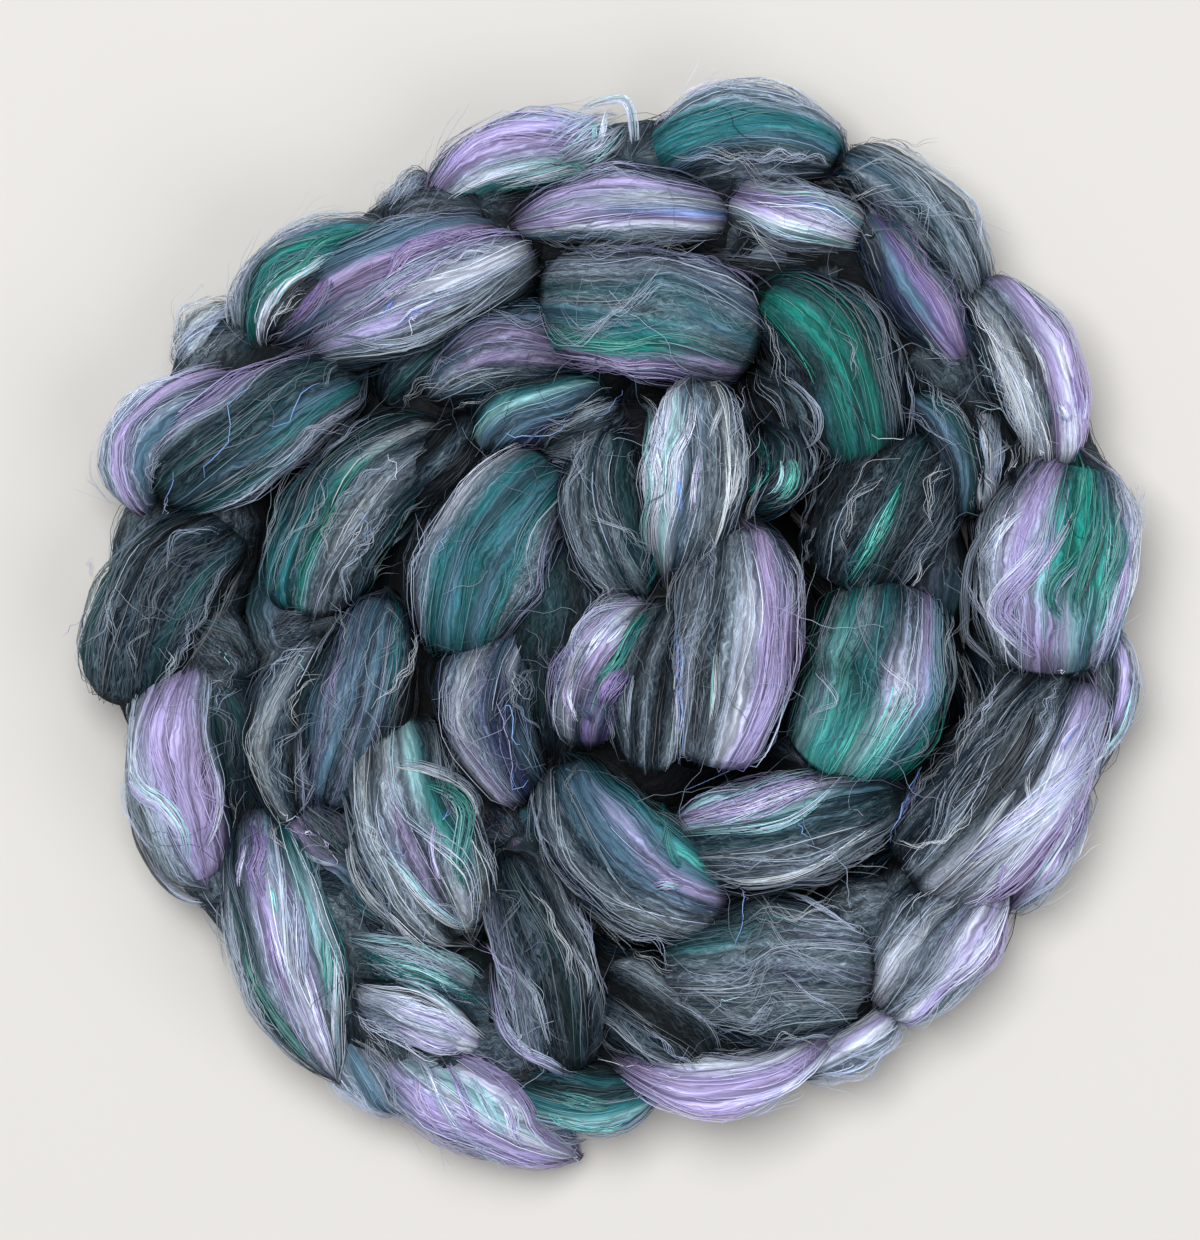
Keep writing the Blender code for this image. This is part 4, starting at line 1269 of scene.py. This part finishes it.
    Lock("sb", 1, [(-64, -43.5), (-62, -46), (-59.5, -47.5), (-54.5, -49)]),
    # The teal tuck's soft bands, and the silver tuck's mint edge, the painted shade of its gap and its
    # white body.
    Lock("snbsnt", 6, [(-55, -62.5), (-48, -64), (-41, -65.5), (-34, -68.5), (-27.5, -72.5)]),
    Lock("tnet", 3.5, [(-54, -67.5), (-46.5, -68), (-39, -69.5), (-31.5, -73), (-26, -77)]),
    Lock("snws", 1.3, [(-50.5, -70), (-45, -70), (-40, -71.5), (-35.5, -74.5), (-32, -77.5), (-29.5, -80.5)]),
    # Painted shade: near black wool laid flat in the gap.
    Lock("xx", 1.4, [(-55, -70), (-50, -71.5), (-44.5, -72), (-39.5, -74.5), (-35, -77), (-31.5, -80)]),
    Lock("swwlwws", 5, [
        (-50.5, -73), (-45, -75.5), (-40.5, -77.5), (-35, -79.5), (-31.5, -81.5), (-29.5, -83)
    ]),
    Lock("lwlw", 3, [(-47, -79.5), (-42.5, -81.5), (-38, -84), (-33.5, -85), (-30, -84)]),
    # The tail's strands, fanning out to its tip.
    Lock("lvl", 2, [(-41, -87.5), (-40, -91.5), (-39.5, -94.5), (-36.5, -100), (-32, -104.5)]),
    Lock("sws", 2.2, [
        (-43.5, -84.5), (-39, -87.5), (-36.5, -92.5), (-33.5, -98), (-30, -102.5), (-24, -107)
    ]),
    Lock("lpl", 2.3, [(-35, -86), (-32, -91.5), (-30, -96), (-28, -100), (-25, -103)]),
    Lock("nsn", 2.3, [(-31, -87.5), (-28, -92.5), (-26, -96), (-23.5, -101), (-20.5, -104.5)]),
    Lock("wlw", 2.4, [(-26.5, -91.5), (-22.5, -96), (-21, -99), (-20, -103), (-16.5, -106)]),
    Lock("lvlw", 2.7, [
        (-29.5, -87.5), (-25, -89.5), (-21, -93), (-18, -97), (-16.5, -101), (-13, -104.5), (-9.5, -106.5),
        (-7.5, -109)
    ]),
    Lock("sbs", 1, [(-14, -103), (-9.5, -104.5), (-5.5, -104)]),
    Lock("bscs", 1.5, [(-35, -104.5), (-29.5, -106.5), (-24, -108.5), (-16.5, -109), (-9.5, -108)]),
    # The keel's turquoise edge, and the charcoal leaf's pale strands.
    Lock("naae", 1.9, [(-14, -96.5), (-12, -99.5), (-7.5, -101), (-2.5, -101.5), (0.5, -101), (6, -98.5)]),
    Lock("etet", 3, [(-15, -93), (-9.5, -95), (-4, -96.5), (0.5, -96)]),
    Lock("smlsm", 3, [
        (-25, -64.5), (-25, -70), (-24, -76), (-22.5, -81), (-19, -85), (-14, -87.5), (-9.5, -90), (-4, -90)
    ]),
    Lock("bsb", 1.3, [(-22.5, -63), (-19.5, -69.5), (-16.5, -73), (-15, -77), (-14, -81.5), (-12.5, -86)]),
    Lock("bsb", 1.2, [(-9.5, -61), (-8, -65.5), (-5.5, -70), (-6, -76)]),
    # The streak along the lilac crest, and the stray loop that stands out at the top of the coil.
    Lock("nwn", 2.4, [(-27, 87), (-20, 88.5), (-14, 90), (-8, 91.5), (-2, 91)]),
    Lock("ww", 0.9, [(-5, 93.5), (-4, 95), (-3, 98), (-2.5, 100.5), (-2, 103), (-0.5, 104)], 27),
    Lock("n", 0.8, [(-4.5, 96), (-4.5, 98.5), (-4.5, 102)], 27),
    Lock("wnsw", 2.2, [
        (-13, 98.5), (-6.5, 104), (-3, 105), (0, 105.5), (2, 105), (3, 102.5), (3.5, 98.5), (3.5, 95.5),
        (2.5, 92.5)
    ], 28),
    Lock("swnsb", 8, [(-18, 92), (-12, 95), (-7, 98), (-3, 100), (1, 102)], 27),
    Lock("wsnb", 5, [(-14, 92), (-7, 93), (-2, 96), (2, 101)], 27),
    Lock("nan", 1.4, [(-10, 93), (-7.5, 91.5), (-5, 90)]),
]
LOCK_STEP = 2.7  # millimetres from point to point along its fibres
FEWEST_POINTS = 6
LOCK_FIBRES_PER_MM = 7.5
MORE_LOCK_FIBRES = 3  # and as many more for its edges
LOCK_GIRTH = (0.17, 0.25)
LOCK_TAPER = (0.8, 3)
LAID_SHADE = (0.48, 0.09)  # on average, and its spread
# Painted shade at a lock's ends, where they slip into the folds, and the painted light and shade that shows
# on it.
LOCK_END_SHADE = (0.3, 4)  # how much darker its ends are, and how late they darken
LOCK_LIGHT = (0.3, 1.5)  # the least and the most light that shows on it
LAID_SHADE_LIMITS = (0.05, 0.94)
LOCK_CRIMP = 0.4
LOCK_RIPPLES = (0.5, 1.3)  # how often its fibres wave across it
RIPPLE_DEPTH = 0.2
DYE_MIXING = 0.1  # how far its dyes run into each other, over its width
LOCK_LIFT = 0.8  # how high it lies over the folds' skin, in millimetres
LOCK_SINK = 2.0  # how deep its fibres' ends slip back into the folds
LOCK_STAGGER = 0.22  # the share of its length over which they end, one before another
LOCK_TIP = 0.3  # how narrow it is at its tips, over its width
LOCK_MOUND = 0.3  # how high it is in its middle, over its width
LOOP_DROP = 9.0  # how far the ends of a lock that stands free come down
STEEPEST_FALL = 1.0  # how steeply a fibre bends down over an edge
SAG = 0.15  # how far it sags from point to point where nothing holds it up
HOLDING_ROUNDS = 30
SKY = 0.2  # a height over the whole coil, in metres


def surface_below():
    """A tree that finds the folds' surface under a place."""
    corners, polygons = [], []
    for skin in skins:
        start = len(corners)
        corners += [vertex.co.copy() for vertex in skin.data.vertices]
        polygons += [[start + v for v in polygon.vertices] for polygon in skin.data.polygons]
    return BVHTree.FromPolygons(corners, polygons)


def resting_heights(plan):
    """The heights of the folds' surface under places in plan, in metres."""
    heights = []
    for x, y in plan.reshape(-1, 2):
        hit = folds_below.ray_cast(Vector((x, y, SKY)), Vector((0, 0, -1)))[0]
        heights.append(hit.z if hit else BED_GAP * MM)
    return np.array(heights).reshape(plan.shape[:-1])


def held_up(plan, heights):
    """Fibres' heights where they are held up over the gaps and the edges that they cross."""
    for _ in range(HOLDING_ROUNDS):
        between = (heights[:, :-2] + heights[:, 2:]) / 2
        heights[:, 1:-1] = np.maximum(heights[:, 1:-1], between - SAG * MM)
    falls = STEEPEST_FALL * np.linalg.norm(np.diff(plan, axis=1), axis=-1)
    last = heights.shape[1] - 1
    for here in range(last):
        after, there = here + 1, last - here
        heights[:, after] = np.maximum(heights[:, after], heights[:, here] - falls[:, here])
        before = heights[:, there] - falls[:, there - 1]
        heights[:, there - 1] = np.maximum(heights[:, there - 1], before)
    return heights


def smooth_line(line, along):
    """Places along a smooth line through places in plan, in metres."""
    places = np.array(line, float) * MM
    padded = np.concatenate([2 * places[:1] - places[1:2], places, 2 * places[-1:] - places[-2:-1]])
    share = along * (len(places) - 1 - 1e-6)
    step = share.astype(int)
    t = (share - step)[..., None]
    p0, p1, p2, p3 = (padded[step + offset] for offset in range(4))
    return 0.5 * (
        2 * p1 + (p2 - p0) * t + (2 * p0 - 5 * p1 + 4 * p2 - p3) * t**2
        + (3 * p1 - p0 - 3 * p2 + p3) * t**3
    )


def laid_fibres(lock):
    """The lines of a laid lock's fibres. Black ones lie flat, as they are a gap's shade."""
    length = sum(math.dist(before, after) for before, after in zip(lock.line, lock.line[1:]))
    points_each = max(FEWEST_POINTS, round(length / LOCK_STEP))
    count = MORE_LOCK_FIBRES + round(lock.width * LOCK_FIBRES_PER_MM)
    steps = np.linspace(0, 1, points_each)[None, :]
    starts, ends = random.uniform(0, LOCK_STAGGER, (2, count, 1))
    along = starts + (1 - starts - ends) * steps
    middle = smooth_line(lock.line, along)
    forward = unit(np.gradient(middle, axis=1))
    left = np.stack([-forward[..., 1], forward[..., 0]], axis=-1)
    side = random.uniform(-1, 1, (count, 1))
    spindle = LOCK_TIP + (1 - LOCK_TIP) * np.sin(np.pi * along) ** FULLNESS
    waves = steps * random.uniform(*LOCK_RIPPLES, (count, 1)) + random.random((count, 1))
    aside = (side + RIPPLE_DEPTH * np.sin(2 * np.pi * waves)) * spindle * lock.width / 2 * MM
    plan = middle + aside[..., None] * left
    if lock.height is None:
        mound = 0.0 if "x" in lock.dyes else LOCK_MOUND * lock.width * np.sqrt(1 - side**2)
        resting = held_up(plan, resting_heights(plan))
        resting[:, 1:-1] = (resting[:, :-2] + 2 * resting[:, 1:-1] + resting[:, 2:]) / 4
        lift = LOCK_LIFT + mound * np.sin(np.pi * along) - LOCK_SINK * to_ends(steps, 4)
        heights = (resting + lift * MM).clip(2 * BED_GAP * MM, None)
    else:
        layer = random.uniform(-0.5, 0.5, (count, 1)) * lock.width
        heights = (lock.height + layer - LOOP_DROP * to_ends(steps, 2)) * MM
    points = raised(plan, heights)
    share = (1 - side[:, 0]) / 2 + random.normal(0, DYE_MIXING, count)
    number = (share * len(lock.dyes)).astype(int).clip(0, len(lock.dyes) - 1)
    girth = radii(LOCK_GIRTH, count)
    # Painted shade at its ends, and painted light and shade from the folds round it.
    shade = random.normal(*LAID_SHADE, (count, 1)) * tapered(steps, *LOCK_END_SHADE)
    shade = shade * light_at(points).clip(*LOCK_LIGHT)
    return Lines(
        points,
        girth * tapered(steps, *LOCK_TAPER),
        shade.clip(*LAID_SHADE_LIMITS),
        dye_columns(np.array(list(lock.dyes))[number]),
        np.full((count, 1), LOCK_CRIMP),
        random.uniform(0, COMBED_WAVES, (count, 1)),
    )


folds_below = surface_below()
groups = [laid_fibres(lock) for lock in LAID_LOCKS]
spin_fibres("laid_locks", groups, CRIMP_DEPTH, CRIMP_LENGTH, soft_fibre)


# --- The loose fibres --------------------------------------------------------------------------
# Single wool fibres that have worked free of the combed top, and lie over the folds in every
# direction.

LOOSE_COUNT = 300
LOOSE_POINTS = 12
LOOSE_GIRTH = (0.10, 0.2)
LOOSE_LENGTHS = (8.0, 26.0)
LOOSE_WANDER = 0.35  # how far it turns from point to point, in radians
LOOSE_LIFTS = (0.7, 1.5)
LOOSE_DYES = "bbbssymkk"
LOOSE_SHADE = (0.36, 0.1)
COIL_REACH = 104.0  # millimetres from the centre


def loose_lines():
    """The lines of the fibres strewn over the coil."""
    radius = COIL_REACH * MM * np.sqrt(random.random((LOOSE_COUNT, 1)))
    angle = random.uniform(0, 2 * np.pi, (LOOSE_COUNT, 1))
    start = np.stack([radius * np.cos(angle), radius * np.sin(angle)], axis=-1)
    turns = random.normal(0, LOOSE_WANDER, (LOOSE_COUNT, LOOSE_POINTS))
    bearing = random.uniform(0, 2 * np.pi, (LOOSE_COUNT, 1)) + np.cumsum(turns, axis=1)
    step = random.uniform(*LOOSE_LENGTHS, (LOOSE_COUNT, 1)) * MM / LOOSE_POINTS
    ahead = np.stack([np.cos(bearing) * step, np.sin(bearing) * step], axis=-1)
    plan = start + np.cumsum(ahead, axis=1)
    resting = resting_heights(plan)
    on_coil = (resting > 2 * MM).all(axis=1)
    plan, count = plan[on_coil], on_coil.sum()
    heights = held_up(plan, resting[on_coil]) + random.uniform(*LOOSE_LIFTS, (count, 1)) * MM
    points = raised(plan, heights)
    return Lines(
        points,
        radii(LOOSE_GIRTH, count),
        # Painted light and shade from the folds round it, on each fibre's own tone.
        (random.normal(*LOOSE_SHADE, (count, 1)) * light_at(points)).clip(*MAP_SHADES),
        dye_columns(random.choice(list(LOOSE_DYES), count)),
        *free_crimps(count),
    )


spin_fibres("loose_fibres", [loose_lines()], WISP_CRIMP_DEPTH, WISP_CRIMP_LENGTH, soft_fibre)


# --- The sparkle fibres ------------------------------------------------------------------------
# A few flat nylon fibres that were carded in for sparkle: kinked and blue white, and painted
# brighter than their dyes all along as a painted glint, without the painted shade of the folds.

# Where they lie in plan, in millimetres, by their dyes.
SPARKLES = {
    "w": [
        [(-41.5, 57.5), (-41, 60.5), (-40, 61.5)], [(78.5, 31.5), (80, 32)], [(84, 35), (85.5, 34.5)],
        [(-59, -43.5), (-57.5, -45.5), (-56, -47)], [(-67.5, -36.5), (-66, -38.5), (-63.5, -38.5)],
        [(-19.5, -80.5), (-19.5, -83), (-19, -85)], [(88, -9), (89, -9.5)], [(70.5, -16), (71.5, -18)],
        [(50.5, 37.5), (54, 37), (57.5, 37.5)], [(-51, 19.5), (-53, 16)], [(-90, 25), (-90.5, 22)],
        [(-3.5, -87), (3.5, -88), (9.5, -89.5), (13, -90.5)], [(-63, -41.5), (-61, -41.5)],
        [(-21, -9), (-20.5, -12.5), (-18, -14.5)], [(-45.5, 34), (-44, 30), (-45, 29)],
    ],
    "n": [
        [(25.5, -73), (22, -74.5), (19, -77)], [(79, 39), (79.5, 42), (80, 43.5)],
        [(71.5, 44), (76.5, 43), (76.5, 45), (74.5, 50.5), (72.5, 53.5), (71.5, 56.5)],
        [(-80, -4), (-79, -6), (-77.5, -8)], [(-63.5, -5.5), (-63, -9)], [(-8.5, -106), (-7.5, -110)],
    ],
    "z": [
        [(-72.5, 47.5), (-77.5, 43.5), (-77, 36.5), (-81, 33), (-82, 29.5)],
        [(-59.5, 48), (-62.5, 46.5), (-65.5, 40), (-69.5, 39.5)], [(-88, 31), (-89, 27), (-91, 22)],
        [(-50.5, 16.5), (-49.5, 20), (-51, 23)], [(-4.5, 40), (-0.5, 44.5), (1.5, 47)],
        [(-22.5, 38.5), (-19.5, 37.5), (-12.5, 38.5), (-8.5, 41.5)], [(-33.5, 20), (-35, 14.5)],
        [(11.5, 2.5), (12, -7), (12, -14), (13, -20), (12, -27)],
        [(32, -20), (31.5, -23.5), (28.5, -26.5), (25, -29), (20, -30.5), (13, -33)],
        [(36, -39.5), (37.5, -42)], [(60.5, -28), (58.5, -34), (56, -38.5), (54.5, -43.5)],
        [(25.5, -53), (25, -58.5), (23.5, -63.5)], [(-34.5, -38.5), (-33, -37)],
        [(-48.5, -49.5), (-49.5, -54)], [(-44.5, -44.5), (-41.5, -45.5)], [(-41.5, -68), (-39, -68)],
        [(-23, -17), (-21, -16), (-21, -22), (-19.5, -23.5)], [(-20.5, -29), (-21, -33), (-18, -31.5)],
    ],
    "l": [
        [(24, -32), (21.5, -32.5)], [(-66, -40), (-64.5, -41.5), (-59.5, -42)],
        [(-104, 4), (-108, 1), (-111.5, -2)], [(-107.5, 13), (-107, 9.5)], [(25, -52), (25.5, -55)],
        [(-60, -40.5), (-57.5, -44.5)], [(-24, -15), (-21.5, -23), (-21, -33)],
    ],
}
SPARKLE_GIRTH = 0.2
SPARKLE_POINTS = 9
SPARKLE_KINK = 0.35  # how far its kinks stray, in millimetres
SPARKLE_CRIMP_DEPTH = 0.12
SPARKLE_CRIMP_LENGTH = 3.0
SPARKLE_LIFT = 1.2
# Painted glint: the sparkle fibres' shade, brighter than the others' and kept out of the painted shade.
SPARKLE_SHADE = (0.7, 0.08)
SPARKLE_SHADE_LIMITS = (0.5, 0.94)


def sparkle_lines():
    """The lines of the sparkle fibres."""
    plan, letters = [], []
    steps = np.linspace(0, 1, SPARKLE_POINTS)
    for letter, lines in SPARKLES.items():
        for line in lines:
            kinks = random.normal(0, SPARKLE_KINK, (SPARKLE_POINTS, 2)) * MM
            plan.append(smooth_line(line, steps) + kinks)
            letters.append(letter)
    plan = np.array(plan)
    heights = held_up(plan, resting_heights(plan)) + SPARKLE_LIFT * MM
    return Lines(
        raised(plan, heights),
        SPARKLE_GIRTH / 2 * MM * tapered(steps, *WISP_TAPER),
        # A painted glint: a high shade on every sparkle fibre, with no painted shade from the folds.
        random.normal(*SPARKLE_SHADE, (len(plan), 1)).clip(*SPARKLE_SHADE_LIMITS),
        dye_columns(np.array(letters)),
        *free_crimps(len(plan)),
    )


# Flat nylon film: smooth, with a bright gloss.
sparkle_fibre = fibre_material("flat_nylon_sparkle_fibre", 0.2, 0.6)
sparkles = [sparkle_lines()]
spin_fibres("sparkle_fibres", sparkles, SPARKLE_CRIMP_DEPTH, SPARKLE_CRIMP_LENGTH, sparkle_fibre)


# --- The surface, the light and the view -------------------------------------------------------
# A plain pale surface under the coil, broad soft daylight from the upper left, and the camera
# straight above, as far off as a held camera sees the whole coil without leaning its sides.

PHOTO_SIZE = (1200, 1240)
PHOTO_SCALE = 0.2  # millimetres to a pixel at the height of the outer folds
PHOTO_MIDDLE = (-3.4, 1.0)  # the place under the photo's middle, in millimetres
CAMERA_HEIGHT = 1500.0
SCALE_HEIGHT = 28.0
SENSOR = 36.0
SURFACE_REACH = 4.0
SURFACE_COLOUR = "#D8D5D0"
SURFACE_ROUGHNESS = 0.9
ROOM_COLOUR = "#E6ECF4"
ROOM_LIGHT = 0.22
Lamp = namedtuple("Lamp", "name place size power")
LAMPS = [
    Lamp("window_light", (-0.25, 0.35, 1.7), 0.9, 28.5),
    Lamp("fill_light", (0.9, -0.6, 1.3), 1.2, 9.5),
]

floor_mesh = bpy.data.meshes.new("floor")
floor_corners = [(-1, -1), (1, -1), (1, 1), (-1, 1)]
floor_points = [(SURFACE_REACH * x, SURFACE_REACH * y, 0) for x, y in floor_corners]
floor_mesh.from_pydata(floor_points, [], [(0, 1, 2, 3)])
floor = bpy.data.objects.new("floor", floor_mesh)
bpy.context.scene.collection.objects.link(floor)
# A matt, plain pale surface.
pale_surface = bpy.data.materials.new("pale_surface")
pale_surface.use_nodes = True
surface_shader = pale_surface.node_tree.nodes["Principled BSDF"]
surface_shader.inputs["Base Color"].default_value = (*linear(SURFACE_COLOUR), 1)
surface_shader.inputs["Roughness"].default_value = SURFACE_ROUGHNESS
floor_mesh.materials.append(pale_surface)

room = bpy.data.worlds.new("soft_room")
room.use_nodes = True
room.node_tree.nodes["Background"].inputs["Color"].default_value = (*linear(ROOM_COLOUR), 1)
room.node_tree.nodes["Background"].inputs["Strength"].default_value = ROOM_LIGHT
bpy.context.scene.world = room

for lamp in LAMPS:
    light = bpy.data.lights.new(lamp.name, "AREA")
    light.size = lamp.size
    light.energy = lamp.power
    holder = bpy.data.objects.new(lamp.name, light)
    holder.location = lamp.place
    holder.rotation_euler = (-Vector(lamp.place)).to_track_quat("-Z", "Y").to_euler()
    bpy.context.scene.collection.objects.link(holder)

camera_data = bpy.data.cameras.new("photo_view")
camera_data.sensor_width = SENSOR
camera_data.lens = SENSOR * (CAMERA_HEIGHT - SCALE_HEIGHT) / (PHOTO_SCALE * max(PHOTO_SIZE))
camera = bpy.data.objects.new("photo_view", camera_data)
camera.location = (PHOTO_MIDDLE[0] * MM, PHOTO_MIDDLE[1] * MM, CAMERA_HEIGHT * MM)
bpy.context.scene.collection.objects.link(camera)
bpy.context.scene.camera = camera
bpy.context.scene.view_settings.view_transform = "Standard"
